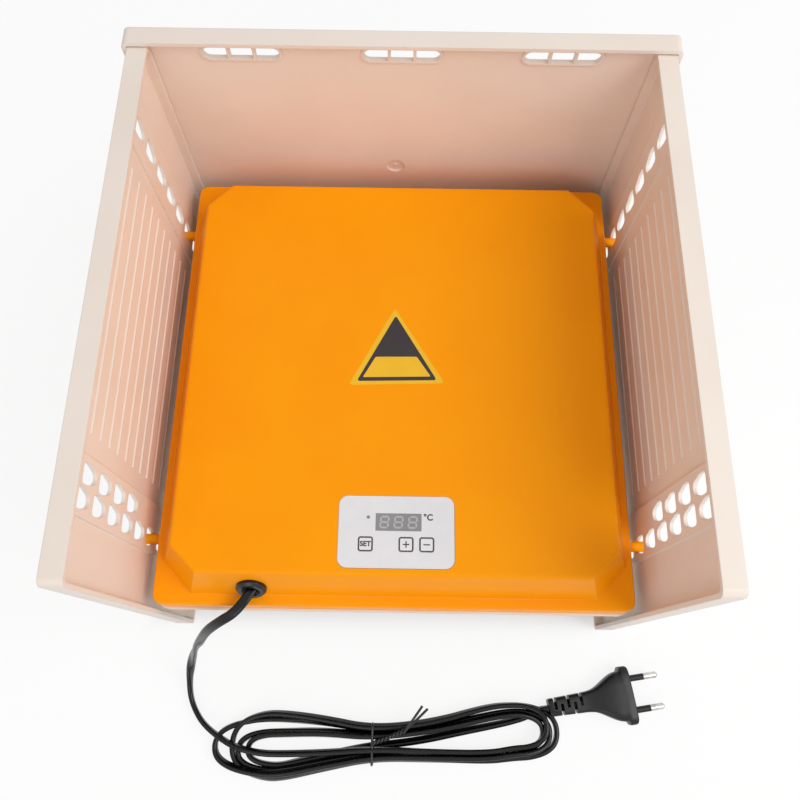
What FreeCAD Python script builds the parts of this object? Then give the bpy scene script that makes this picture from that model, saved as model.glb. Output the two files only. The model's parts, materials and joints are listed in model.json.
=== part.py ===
"""Chick brooder heater: a heated plate that hangs on four pegs inside a three-sided stand.

Millimetres, +Z up. The origin is on the floor, below the middle of the stand. The open front faces -Y.
The plate's cover, its hidden works, the stand's panels and the lead are separate solids, one file each.
"""
import math
import os

import FreeCAD
import Part

V = FreeCAD.Vector

# Stand: overall size and the two kinds of panel
STAND_WIDTH = 292.0
STAND_DEPTH = 284.5
STAND_HEIGHT = 221.0
PANEL_CORNER = 4.0
PANEL_FIT = 0.3

BACK_THICKNESS = 10.5
BACK_RIM = 2.5
BACK_INNER_CORNER = 0.8
BACK_WEB = 2.2
BACK_RECESS = 4.3

SIDE_THICKNESS = 10.4
SIDE_RIM = 2.4
SIDE_WEB = 1.8
SIDE_RECESS = 5.2
SIDE_TOP_GAP = 0.8

# Peg holes: tall, flat at the top and narrowing to a round seat
HOLE_WIDTH = 10.0
HOLE_HEIGHT = 16.0
HOLE_TOP_RADIUS = 2.2
HOLE_PITCH = 20.0
HOLE_TOP_MARGIN = 6.0
FIRST_HOLE_Z = 39.5
TILT_COLUMN_OFFSET = 11.4
TILT_FIRST_HOLE_Z = 135.5
PEG_HOLE = 3
PAD_WIDTH = 28.0
PAD_RISE = 1.1
PAD_POCKET_MARGIN = 1.5

# Grip ribs between the two hole columns of a side panel
RIB_PITCH = 11.8
RIB_TOP_DROP = 18.3
RIB_LOWEST = 20.0
RIB_WIDTH = 1.4
RIB_HEIGHT = 0.6
RIB_END_GAP = 10.0

# Vents, stiffeners, hook slots and gate mark of the back panel
VENT_WIDTH = 40.8
VENT_HEIGHT = 8.0
VENT_PITCH = 85.2
VENT_TOP_DROP = 7.5
VENT_LIP = 1.5
VENT_LIP_RISE = 0.8
VENT_BAR = 1.6
STIFFENER = 1.8
STIFFENER_COLUMNS = 3
STIFFENER_ROWS = 2
GATE_RADIUS = 5.6
GATE_PIP = 1.4
GATE_DEPTH = 1.2
GATE_X = -3.6
GATE_Z = 116.2
HOOK_ROWS = (45.0, 110.0, 175.0)
HOOK_THICKNESS = 3.4
HOOK_HEIGHT = 9.0
HOOK_LIP = 4.0
HOOK_LIP_THICKNESS = 2.0
HOOK_CLEARANCE = 0.4

# Pegs
PEG_RADIUS = 3.0
PEG_CLEARANCE = 0.3
PEG_PROUD = 1.8
PEG_TIP = 0.8
PEG_SHANK = 9.0
PEG_COLLAR_RADIUS = 5.5
PEG_COLLAR = 1.4
PEG_INSET_FRONT = 36.6
PEG_INSET_BACK = 32.4
PEG_BOSS_RADIUS = 5.6

# Plate: cover with a raised eight-sided top, and a shallow tray below it
PLATE_SIDE_GAP = 1.8
PLATE_BACK_GAP = 4.6
PLATE_SETBACK = 3.4
PLATE_CORNER = 6.0
FLANGE_ABOVE_PEG = 9.2
SKIRT_HEIGHT = 15.0
COVER_WALL = 2.4
RAISE = 22.5
FOOT_INSET_SIDE = 4.0
FOOT_INSET_END = 6.0
SLOPE_RUN = 8.6
FOOT_CHAMFER = 17.0
TOP_CHAMFER = 14.5
TOP_EDGE_RADIUS = 2.0
TRAY_HEIGHT = 6.0
TRAY_LIP = 1.0
TRAY_FLOOR = 2.5
TRAY_WALL = 2.0
TRAY_TONGUE = 4.0
TRAY_EDGE = 1.6
TRAY_FIT = 0.3

# Heat stack in the tray
STACK_MARGIN = 12.0
STACK_CORNER = 16.0
SPREADER = 0.8
FOIL = 0.6
FOIL_MARGIN = 5.0
INSULATION = 6.0
INSULATION_MARGIN = 3.0

# Case screws
CASE_BOSS_RADIUS = 4.0
CASE_BOSS_INSET = 9.5
CASE_SCREW_RADIUS = 1.5
CASE_SCREW_HEAD = 2.9
CASE_SCREW_HEAD_HEIGHT = 1.6
CASE_SCREW_LENGTH = 11.0

# Control label, display and keys
LABEL_WIDTH = 61.4
LABEL_DEPTH = 38.2
LABEL_CORNER = 5.0
LABEL_X = 0.9
LABEL_FROM_FRONT = 37.2
LABEL_THICKNESS = 1.3
LABEL_RECESS = 1.2
LABEL_FIT = 0.15
DISPLAY_WIDTH = 24.4
DISPLAY_DEPTH = 9.4
DISPLAY_OFFSET = (1.1, 5.1)
DISPLAY_FIT = 0.2
WINDOW_THICKNESS = 1.0
LED_OFFSET = (-15.0, 7.6)
LED_RADIUS = 1.5
LED_FLANGE = 2.0
LED_FLANGE_HEIGHT = 0.8
LED_LENGTH = 5.6
LED_LEG_RADIUS = 0.3
LED_LEG_SPACING = 2.0
KEY_SIZE = 8.0
KEY_CORNER = 1.4
KEY_GAP = 0.25
KEY_CAP = 0.75
KEY_TRAVEL = 0.4
KEY_ROW = -6.6
KEY_COLUMNS = {"set": -16.2, "plus": 5.2, "minus": 16.1}
STEM_RADIUS = 1.8
STEM_CLEARANCE = 0.5
STEM_FLANGE_RADIUS = 3.2
STEM_FLANGE = 0.8

# Control board and its parts
BOARD_WIDTH = 92.0
BOARD_DEPTH = 44.0
BOARD_THICKNESS = 1.6
BOARD_DROP = 8.0
BOARD_POST_RADIUS = 3.2
BOARD_POST_INSET = 4.0
BOARD_SCREW_RADIUS = 1.2
BOARD_SCREW_HEAD = 2.4
BOARD_SCREW_HEAD_HEIGHT = 1.6
SWITCH_SIZE = 6.0
SWITCH_HEIGHT = 3.4
PLUNGER_RADIUS = 1.7
PLUNGER_SINK = 1.6
PART_GAP = 2.5
RELAY = (19.0, 15.2, 12.5)
CAPACITOR = (17.5, 8.5, 12.0)
CAPACITOR_Y = -8.0
FUSE = (8.4, 4.2, 8.0)
FUSE_Y = 3.0
REGULATOR = (5.0, 4.0, 2.0)
TERMINAL = (15.0, 8.0, 10.0)
HEATER_TERMINAL_INSET = 17.0
TERMINAL_SCREW_RADIUS = 1.8
TERMINAL_SCREW_DEPTH = 1.0

# Sensor and cutout on the foil
SENSOR_X = -6.0
SENSOR_FROM_FRONT = 118.0
SENSOR_RADIUS = 3.0
SENSOR_HEIGHT = 5.0
SENSOR_WIRE_SPACING = 2.4
SENSOR_WIRE_RADIUS = 0.7
SENSOR_WIRE_INSET = 5.0
CUTOUT_FROM_FRONT = 112.0
CUTOUT_SIZE = (15.0, 7.0, 3.6)
FOIL_TAB_STEP = 15.0
FOIL_TAB_FROM_BOARD = 21.0
POCKET_GAP = 1.5
WIRE_RADIUS = 0.9
WIRE_SIDES = 6
WIRE_LIFT = 5.0

# Lead: bush, clamp, free tube, hank, tie and plug
LEAD_DIAMETER = 5.4
BEND_SHARE = 0.45
BUSH_X = -76.0
BUSH_ABOVE_FLANGE = 8.0
BUSH_RADIUS = 8.2
BUSH_PROUD = 3.0
BUSH_NECK_RADIUS = 6.6
BUSH_INNER_RADIUS = 7.8
BUSH_INNER = 2.0
BUSH_MOUTH_RADIUS = 4.9
BUSH_MOUTH_DEPTH = 3.6
BUSH_EDGE = 1.3
LEAD_FIT = 0.15
LEAD_LEAN = V(-0.42, -0.86, 0.29)
LEAD_OUTSIDE = 3.0
LEAD_INSIDE = 9.0
INNER_LEAD = 17.0
CLAMP_WIDTH = 18.0
CLAMP_LENGTH = 7.0
CLAMP_CAP = 2.6
CLAMP_GAP = 0.4
CLAMP_FIT = 0.02
CLAMP_SCREW_INSET = 3.0
CLAMP_SCREW_RADIUS = 1.4
CLAMP_SCREW_HEAD = 2.6
CLAMP_SCREW_HEAD_HEIGHT = 1.4
CLAMP_SCREW_LENGTH = 9.0
CORE_SPACING = 2.5
CORE_STRAIGHT = 4.0
CORE_ENTRY = 7.0
FAR = 30.0

HANK_HEIGHT = 10.0
HANK_EDGE = 2.4
TIE_AT = (-12.4, -71.0)
TIE_WIDTH = 1.8
TIE_DEPTH = 1.2
TIE_REACH = 12.6
TIE_FLOOR = 0.2
TIE_OVER_HANK = 0.6
TIE_CORNER = 2.5
TIE_GROOVE = 3.0
TIE_KNOT = (0.0, 2.0, -0.3)
TIE_TWIST = (16.4, 6.5, 1.2)
TIE_ENDS = ((31.0, 21.5, 2.0), (34.0, 20.5, 1.0))
PLUG_ANGLE = 9.4
PLUG_FACE = (152.0, -39.5)
PLUG_WIDTH = 35.3
PLUG_HEIGHT = 13.7
PLUG_FLANGE = 6.5
PLUG_SHOULDER_WIDTH = 30.0
PLUG_SHOULDER = 3.5
PLUG_NECK = 4.0
PLUG_FACE_TAPER = (1.6, 3.4)
PLUG_FLANGE_TAPER = 1.2
PLUG_BODY = 29.0
LEAD_IN_RELIEF = 3.0
TAIL_RUNS = ((-10.0, (0.0, 0.0, 0.0)), (-10.0, (-11.0, -5.5, -0.6)))
RELIEF_LENGTH = 25.0
RELIEF_WIDTH = 12.6
RELIEF_END_WIDTH = 10.6
RELIEF_HEIGHT = 8.6
RELIEF_SLOT = 2.0
RELIEF_SLOTS = 5
PIN_SPACING = 19.0
PIN_RADIUS = 2.0
PIN_LENGTH = 19.0
PIN_SLEEVE = 10.0
PIN_SLEEVE_WALL = 0.25
PIN_ROOT = 6.0

# Places worked out from the sizes above
FRONT_Y = -STAND_DEPTH / 2
BACK_Y = STAND_DEPTH / 2
BACK_FACE_Y = BACK_Y - BACK_THICKNESS
BACK_WEB_FRONT = BACK_FACE_Y + BACK_RECESS
BACK_WEB_REAR = BACK_WEB_FRONT + BACK_WEB
SIDE_OUTER_X = STAND_WIDTH / 2 - BACK_RIM - PANEL_FIT
SIDE_INNER_X = SIDE_OUTER_X - SIDE_THICKNESS
SIDE_WEB_X = SIDE_INNER_X + SIDE_RECESS
SIDE_TOP_Z = STAND_HEIGHT - BACK_RIM - SIDE_TOP_GAP
SIDE_REAR_Y = BACK_WEB_FRONT - PANEL_FIT
PAD_X = SIDE_WEB_X - PAD_RISE

PLATE_FRONT_Y = FRONT_Y + PLATE_SETBACK
PLATE_BACK_Y = BACK_FACE_Y - PLATE_BACK_GAP
PLATE_MID_Y = (PLATE_FRONT_Y + PLATE_BACK_Y) / 2
PLATE_HALF = SIDE_INNER_X - PLATE_SIDE_GAP
PEG_FRONT_Y = PLATE_FRONT_Y + PEG_INSET_FRONT
PEG_BACK_Y = PLATE_BACK_Y - PEG_INSET_BACK
PEG_PLACES = {"front": PEG_FRONT_Y, "back": PEG_BACK_Y}
SEAT_RADIUS = PEG_RADIUS + PEG_CLEARANCE
PEG_Z = FIRST_HOLE_Z + PEG_HOLE * HOLE_PITCH - HOLE_HEIGHT / 2 + SEAT_RADIUS
FLANGE_Z = PEG_Z + FLANGE_ABOVE_PEG
SKIRT_Z = FLANGE_Z - SKIRT_HEIGHT
TRAY_Z = SKIRT_Z - TRAY_HEIGHT
TOP_Z = FLANGE_Z + RAISE
CEILING_Z = TOP_Z - COVER_WALL
LABEL_FLOOR_Z = TOP_Z - LABEL_RECESS
LABEL_TOP_Z = LABEL_FLOOR_Z + LABEL_THICKNESS
LABEL_Y = PLATE_FRONT_Y + LABEL_FROM_FRONT
BOARD_TOP_Z = CEILING_Z - BOARD_DROP
BOARD_UNDER_Z = BOARD_TOP_Z - BOARD_THICKNESS
SPREADER_Z = TRAY_Z + TRAY_FLOOR
FOIL_Z = SPREADER_Z + SPREADER
INSULATION_Z = FOIL_Z + FOIL
SLOPE_ANGLE = math.atan2(RAISE, SLOPE_RUN)
SLOPE_NORMAL = V(0, -math.sin(SLOPE_ANGLE), math.cos(SLOPE_ANGLE))
BUSH_AT = V(
    BUSH_X,
    PLATE_FRONT_Y + FOOT_INSET_END + BUSH_ABOVE_FLANGE / math.tan(SLOPE_ANGLE),
    FLANGE_Z + BUSH_ABOVE_FLANGE,
)
LEAD_EXIT = LEAD_LEAN / LEAD_LEAN.Length
LEAD_MOUTH = BUSH_AT + SLOPE_NORMAL * BUSH_PROUD
INNER_LEAD_START = LEAD_MOUTH - LEAD_EXIT * LEAD_INSIDE
INNER_LEAD_END = INNER_LEAD_START - LEAD_EXIT * INNER_LEAD

# Route of the lead from the bush, over the plate's front edge and down to the floor, up to the hank
LEAD_ROUTE = [
    INNER_LEAD_START,
    LEAD_MOUTH + LEAD_EXIT * LEAD_OUTSIDE,
    V(-84.5, -143.5, 111.0),
    V(-93.0, -147.5, 105.5),
    V(-102.5, -151.5, 92.0),
    V(-110.5, -155.5, 70.5),
    V(-118.5, -159.5, 47.0),
    V(-126.0, -165.5, 24.0),
    V(-130.0, -175.5, 8.0),
    V(-129.5, -187.5, 2.9),
    V(-124.0, -198.0, 2.9),
    V(-116.5, -206.0, 4.0),
    V(-109.1, -210.3, 5.1),
]

# Outer shape of the hank on the floor: corners and their radii, from its left end along the far side and back
HANK_OUTLINE = [
    (-112.5, -218.2, 3.0),
    (-101.5, -199.2, 8.0),
    (-76.0, -191.5, 30.0),
    (-10.0, -204.0, 70.0),
    (79.0, -184.0, 20.0),
    (105.5, -202.0, 7.0),
    (104.0, -217.5, 10.0),
    (62.0, -226.5, 60.0),
    (-16.0, -223.2, 90.0),
    (-76.0, -239.5, 25.0),
    (-112.5, -227.0, 7.0),
]

OUT = "parts"


def place(axis, a, b, t):
    """Point at t along the axis, and at a and b along the other two axes in X, Y, Z order."""
    return {"x": V(t, a, b), "y": V(a, t, b), "z": V(a, b, t)}[axis]


def outline(axis, corners, t):
    """Closed wire at t along the axis, through corners of (a, b, radius)."""
    ends = []
    edges = []
    count = len(corners)
    for i, (a, b, radius) in enumerate(corners):
        here = place(axis, a, b, t)
        before = place(axis, *corners[i - 1][:2], t) - here
        after = place(axis, *corners[(i + 1) % count][:2], t) - here
        before.normalize()
        after.normalize()
        if radius <= 0:
            ends.append((here, here))
            continue
        half = before.getAngle(after) / 2
        reach = radius / math.tan(half)
        middle = before + after
        middle.normalize()
        centre = here + middle * (radius / math.sin(half))
        start, stop = here + before * reach, here + after * reach
        edges.append(Part.Arc(start, centre - middle * radius, stop).toShape())
        ends.append((start, stop))
    for i in range(count):
        leave, arrive = ends[i][1], ends[(i + 1) % count][0]
        if leave.distanceToPoint(arrive) > 1e-6:
            edges.append(Part.LineSegment(leave, arrive).toShape())
    return Part.Wire(Part.__sortEdges__(edges))


def slab(axis, corners, low, high):
    """Solid between two planes across the axis, with the given outline."""
    face = Part.Face(outline(axis, corners, low))
    return face.extrude(place(axis, 0, 0, high - low))


def rectangle(a0, a1, b0, b1, radius=0.0):
    """Corners of a rectangle with one corner radius."""
    return [(a0, b0, radius), (a1, b0, radius), (a1, b1, radius), (a0, b1, radius)]


def box(x0, x1, y0, y1, z0, z1):
    """Plain block between two corners."""
    return Part.makeBox(x1 - x0, y1 - y0, z1 - z0, V(x0, y0, z0))


def rod(radius, start, stop):
    """Cylinder between two points."""
    return Part.makeCylinder(radius, start.distanceToPoint(stop), start, stop - start)


def turned(profile, base, axis):
    """Solid turned from (radius, height) pairs about an axis through base."""
    points = [V(r, 0, h) for r, h in profile]
    shape = Part.Face(Part.makePolygon(points + points[:1])).revolve(V(), V(0, 0, 1), 360)
    shape.Placement = FreeCAD.Placement(base, FreeCAD.Rotation(V(0, 0, 1), axis))
    return shape


def fused(shapes):
    """One shape from several, with seams removed."""
    return shapes[0].multiFuse(shapes[1:]).removeSplitter()


def mirrored(shape):
    """The same piece on the other side of the middle."""
    return shape.mirror(V(), V(1, 0, 0))


def edges_near(shape, test):
    """Edges whose middle point passes the test."""
    return [e for e in shape.Edges if test(e.valueAt((e.FirstParameter + e.LastParameter) / 2))]


def ring(radius, centre, axis, sides):
    """Closed wire round an axis: a circle, or a polygon where sides are given."""
    if not sides:
        return Part.Wire(Part.makeCircle(radius, centre, axis))
    turn = FreeCAD.Rotation(V(0, 0, 1), axis)
    angles = [2 * math.pi * k / sides for k in range(sides)]
    corners = [centre + turn.multVec(V(math.cos(a), math.sin(a), 0)) * radius for a in angles]
    return Part.makePolygon(corners + corners[:1])


def tube(points, radius, name=None, sides=0):
    """Tube along straight runs that are joined by tangent arcs, round unless sides are given."""
    edges = []
    radii = []
    cursor = points[0]
    for before, here, after in zip(points, points[1:], points[2:]):
        back, on = before - here, after - here
        shorter = min(back.Length, on.Length)
        back.normalize()
        on.normalize()
        half_turn = (math.pi - back.getAngle(on)) / 2
        bend = BEND_SHARE * shorter / math.tan(half_turn)
        reach = bend * math.tan(half_turn)
        middle = back + on
        middle.normalize()
        crown = here + middle * (bend / math.cos(half_turn) - bend)
        edges.append(Part.LineSegment(cursor, here + back * reach).toShape())
        edges.append(Part.Arc(here + back * reach, crown, here + on * reach).toShape())
        cursor = here + on * reach
        radii.append(bend)
    edges.append(Part.LineSegment(cursor, points[-1]).toShape())
    path = Part.Wire(edges)
    solid = path.makePipeShell([ring(radius, points[0], points[1] - points[0], sides)], True, False)
    if name:
        expected = math.pi * radius**2 * path.Length
        listed = " ".join(f"{r:.0f}" for r in radii)
        print(f"{name}: length {path.Length:.1f}, volume ratio {solid.Volume / expected:.4f}, radii {listed}")
    return solid


def export(node, shape):
    """Write one node's file."""
    shape.exportStep(f"{OUT}/{node}.step")


# Stand


def hole_corners(y, z):
    """Outline of one peg hole: flat top, straight sides, then a taper into the round seat."""
    half = HOLE_WIDTH / 2
    seat_z = z - HOLE_HEIGHT / 2 + SEAT_RADIUS
    waist = z + HOLE_TOP_RADIUS / 2
    reach = math.hypot(half, waist - seat_z)
    lean = math.acos(SEAT_RADIUS / reach) - math.atan2(waist - seat_z, half)
    tangent = V(SEAT_RADIUS * math.cos(lean), -SEAT_RADIUS * math.sin(lean), 0)
    drop = tangent.x * math.tan(math.pi / 2 - lean)
    tip = seat_z + tangent.y - drop
    return [
        (y - half, z + HOLE_HEIGHT / 2, HOLE_TOP_RADIUS),
        (y + half, z + HOLE_HEIGHT / 2, HOLE_TOP_RADIUS),
        (y + half, waist, 0),
        (y, tip, SEAT_RADIUS),
        (y - half, waist, 0),
    ]


def hole_places():
    """Centres of all peg holes of a side panel, as (y, z)."""
    highest = SIDE_TOP_Z - SIDE_RIM - HOLE_TOP_MARGIN - HOLE_HEIGHT / 2
    places = []
    for y, first in (
        (PEG_FRONT_Y, FIRST_HOLE_Z),
        (PEG_BACK_Y, FIRST_HOLE_Z),
        (PEG_FRONT_Y + TILT_COLUMN_OFFSET, TILT_FIRST_HOLE_Z),
    ):
        count = int((highest - first) / HOLE_PITCH) + 1
        places += [(y, first + k * HOLE_PITCH) for k in range(count)]
    return places


def hook(z):
    """Hook that passes through the back panel and drops behind it."""
    x0 = SIDE_WEB_X - HOOK_THICKNESS / 2
    behind = BACK_WEB_REAR + HOOK_CLEARANCE
    neck = box(x0, x0 + HOOK_THICKNESS, SIDE_REAR_Y - SIDE_RIM / 2, behind, z, z + HOOK_HEIGHT)
    lip = box(x0, x0 + HOOK_THICKNESS, behind, behind + HOOK_LIP_THICKNESS, z - HOOK_LIP, z + HOOK_HEIGHT)
    return [neck, lip]


def side_panel():
    """Right side panel: a thin web in a deep rim, with ribs, raised pads and peg holes."""
    tail = BACK_RIM + PANEL_FIT
    step_y = BACK_FACE_Y - PANEL_FIT
    corner = PANEL_CORNER
    body = slab("x", [
        (FRONT_Y, 0, corner),
        (step_y, 0, 0),
        (step_y, tail, 0),
        (SIDE_REAR_Y, tail, 0),
        (SIDE_REAR_Y, SIDE_TOP_Z, corner),
        (FRONT_Y, SIDE_TOP_Z, corner),
    ], SIDE_INNER_X, SIDE_OUTER_X)
    low, high = SIDE_RIM, SIDE_TOP_Z - SIDE_RIM
    inner = corner - SIDE_RIM / 2
    inside = [
        (FRONT_Y + SIDE_RIM, low, inner),
        (step_y - SIDE_RIM, low, 0),
        (step_y - SIDE_RIM, tail + SIDE_RIM, 0),
        (SIDE_REAR_Y - SIDE_RIM, tail + SIDE_RIM, 0),
        (SIDE_REAR_Y - SIDE_RIM, high, inner),
        (FRONT_Y + SIDE_RIM, high, inner),
    ]
    body = body.cut(slab("x", inside, SIDE_INNER_X, SIDE_WEB_X))
    body = body.cut(slab("x", inside, SIDE_WEB_X + SIDE_WEB, SIDE_OUTER_X))

    pads = [PEG_FRONT_Y + TILT_COLUMN_OFFSET / 2, PEG_BACK_Y]
    for y in pads:
        y0, y1 = y - PAD_WIDTH / 2, y + PAD_WIDTH / 2
        body = body.fuse(box(PAD_X, SIDE_WEB_X, y0, y1, low, high))
        margin = PAD_POCKET_MARGIN
        pocket = rectangle(y0 + margin, y1 - margin, low + margin, high - margin, margin)
        body = body.cut(slab("x", pocket, SIDE_WEB_X + SIDE_WEB - PAD_RISE, SIDE_WEB_X + SIDE_WEB))

    rib_y0 = pads[0] + PAD_WIDTH / 2 + RIB_END_GAP
    rib_y1 = pads[1] - PAD_WIDTH / 2 - RIB_END_GAP
    top_rib = SIDE_TOP_Z - RIB_TOP_DROP
    for k in range(int((top_rib - RIB_LOWEST) / RIB_PITCH) + 1):
        z = top_rib - k * RIB_PITCH
        ridge = slab("y", [
            (SIDE_WEB_X, z - RIB_WIDTH / 2, 0),
            (SIDE_WEB_X - RIB_HEIGHT, z, 0),
            (SIDE_WEB_X, z + RIB_WIDTH / 2, 0),
        ], rib_y0, rib_y1)
        body = body.fuse(ridge)

    holes = [slab("x", hole_corners(y, z), PAD_X - 1, SIDE_WEB_X + SIDE_WEB + 1) for y, z in hole_places()]
    body = body.cut(Part.makeCompound(holes))
    return fused([body] + [piece for z in HOOK_ROWS for piece in hook(z)])


def back_panel():
    """Back panel: a web in a rim that is open on both faces, with vents, stiffeners and hook slots."""
    half = STAND_WIDTH / 2
    body = slab("y", rectangle(-half, half, 0, STAND_HEIGHT, PANEL_CORNER), BACK_FACE_Y, BACK_Y)
    inside = rectangle(
        -half + BACK_RIM, half - BACK_RIM, BACK_RIM, STAND_HEIGHT - BACK_RIM, BACK_INNER_CORNER
    )
    body = body.cut(slab("y", inside, BACK_FACE_Y, BACK_WEB_FRONT))
    body = body.cut(slab("y", inside, BACK_WEB_REAR, BACK_Y))

    columns = [half * (2 * k / (STIFFENER_COLUMNS + 1) - 1) for k in range(1, STIFFENER_COLUMNS + 1)]
    rows = [STAND_HEIGHT * k / (STIFFENER_ROWS + 1) for k in range(1, STIFFENER_ROWS + 1)]
    vent_z = STAND_HEIGHT - BACK_RIM - VENT_TOP_DROP
    under_vents = vent_z - VENT_HEIGHT / 2 - 2 * VENT_LIP
    rear = BACK_Y - BACK_RIM / 2
    for x in columns:
        upright = box(x - STIFFENER / 2, x + STIFFENER / 2, BACK_WEB_REAR, rear, BACK_RIM, under_vents)
        body = body.fuse(upright)
    slot_edge = SIDE_WEB_X - HOOK_THICKNESS / 2 - 2 * HOOK_CLEARANCE - STIFFENER
    for z in rows + [under_vents - STIFFENER / 2]:
        level = box(-slot_edge, slot_edge, BACK_WEB_REAR, rear, z - STIFFENER / 2, z + STIFFENER / 2)
        body = body.fuse(level)

    lip_y = BACK_WEB_FRONT - VENT_LIP_RISE
    for k in (-1, 0, 1):
        x0, x1 = k * VENT_PITCH - VENT_WIDTH / 2, k * VENT_PITCH + VENT_WIDTH / 2
        z0, z1 = vent_z - VENT_HEIGHT / 2, vent_z + VENT_HEIGHT / 2
        radius = VENT_HEIGHT / 2 - 0.01
        lip = rectangle(x0 - VENT_LIP, x1 + VENT_LIP, z0 - VENT_LIP, z1 + VENT_LIP, radius + VENT_LIP)
        body = body.fuse(slab("y", lip, lip_y, BACK_WEB_FRONT))
        opening = rectangle(x0, x1, z0, z1, radius)
        body = body.cut(slab("y", opening, lip_y - 1, BACK_WEB_REAR + 1))
        for x in (x0 + VENT_WIDTH / 3, x1 - VENT_WIDTH / 3):
            body = body.fuse(box(x - VENT_BAR / 2, x + VENT_BAR / 2, lip_y, BACK_WEB_REAR, z0, z1))

    gate = V(GATE_X, BACK_WEB_FRONT, GATE_Z)
    inward = V(0, 1, 0)
    body = body.cut(rod(GATE_RADIUS, gate, gate + inward * GATE_DEPTH))
    pip_root = gate + inward * (GATE_DEPTH + BACK_WEB / 4)
    body = body.fuse(rod(GATE_PIP, gate + inward * GATE_DEPTH / 2, pip_root))

    x0 = SIDE_WEB_X - HOOK_THICKNESS / 2 - HOOK_CLEARANCE
    x1 = x0 + HOOK_THICKNESS + 2 * HOOK_CLEARANCE
    for z in HOOK_ROWS:
        slot = box(x0, x1, BACK_WEB_FRONT - 1, BACK_WEB_REAR + 1,
                   z - HOOK_LIP - HOOK_CLEARANCE, z + HOOK_HEIGHT + HOOK_LIP)
        body = body.cut(slot).cut(mirrored(slot))
    return body.removeSplitter()


# Plate


def octagon(inset_side, inset_end, chamfer, z):
    """Eight-sided wire of the raised top at one height."""
    x = PLATE_HALF - inset_side
    y0, y1 = PLATE_FRONT_Y + inset_end, PLATE_BACK_Y - inset_end
    points = [
        V(-x + chamfer, y0, z), V(x - chamfer, y0, z), V(x, y0 + chamfer, z), V(x, y1 - chamfer, z),
        V(x - chamfer, y1, z), V(-x + chamfer, y1, z), V(-x, y1 - chamfer, z), V(-x, y0 + chamfer, z),
    ]
    return Part.makePolygon(points + points[:1])


def raised_form(shrink, top_z, floor_z):
    """Sloping eight-sided form, its walls moved in by shrink, cut off at two heights."""
    share = (floor_z - FLANGE_Z) / RAISE
    top_share = (top_z - FLANGE_Z) / RAISE
    side = shrink / math.sin(SLOPE_ANGLE)

    def level(fraction, z):
        run = SLOPE_RUN * fraction + side
        chamfer = FOOT_CHAMFER + (TOP_CHAMFER - FOOT_CHAMFER) * fraction
        return octagon(FOOT_INSET_SIDE + run, FOOT_INSET_END + run, chamfer, z)

    return Part.makeLoft([level(share, floor_z), level(top_share, top_z)], True, True)


def plate_rectangle(grow, radius):
    """Corners of the plate's outline, moved out by grow."""
    return rectangle(
        -PLATE_HALF - grow, PLATE_HALF + grow, PLATE_FRONT_Y - grow, PLATE_BACK_Y + grow, radius
    )


def case_screw_places():
    """Centres of the case screws: the corners, and the middle of the left and right sides."""
    x = PLATE_HALF - CASE_BOSS_INSET
    rows = (PLATE_FRONT_Y + CASE_BOSS_INSET, PLATE_MID_Y, PLATE_BACK_Y - CASE_BOSS_INSET)
    return [(side * x, y) for side in (-1, 1) for y in rows]


def board_post_places():
    """Centres of the posts that carry the control board."""
    x = BOARD_WIDTH / 2 - BOARD_POST_INSET
    y = BOARD_DEPTH / 2 - BOARD_POST_INSET
    return [(LABEL_X + sx * x, LABEL_Y + sy * y) for sx in (-1, 1) for sy in (-1, 1)]


def label_point(offset):
    """Place on the label from its middle."""
    return LABEL_X + offset[0], LABEL_Y + offset[1]


def key_places():
    """Names and centres of the keys."""
    return {name: label_point((column, KEY_ROW)) for name, column in KEY_COLUMNS.items()}


def clamp_base():
    """Middle of the lead where the clamp grips it."""
    return INNER_LEAD_END + LEAD_EXIT * (CLAMP_LENGTH / 2 + 2)


def clamp_frame(shape):
    """Move a shape, made along +X at the origin, onto the lead where the clamp grips it."""
    flat = V(LEAD_EXIT.x, LEAD_EXIT.y, 0)
    shape.Placement = FreeCAD.Placement(clamp_base(), FreeCAD.Rotation(V(1, 0, 0), flat))
    return shape


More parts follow.
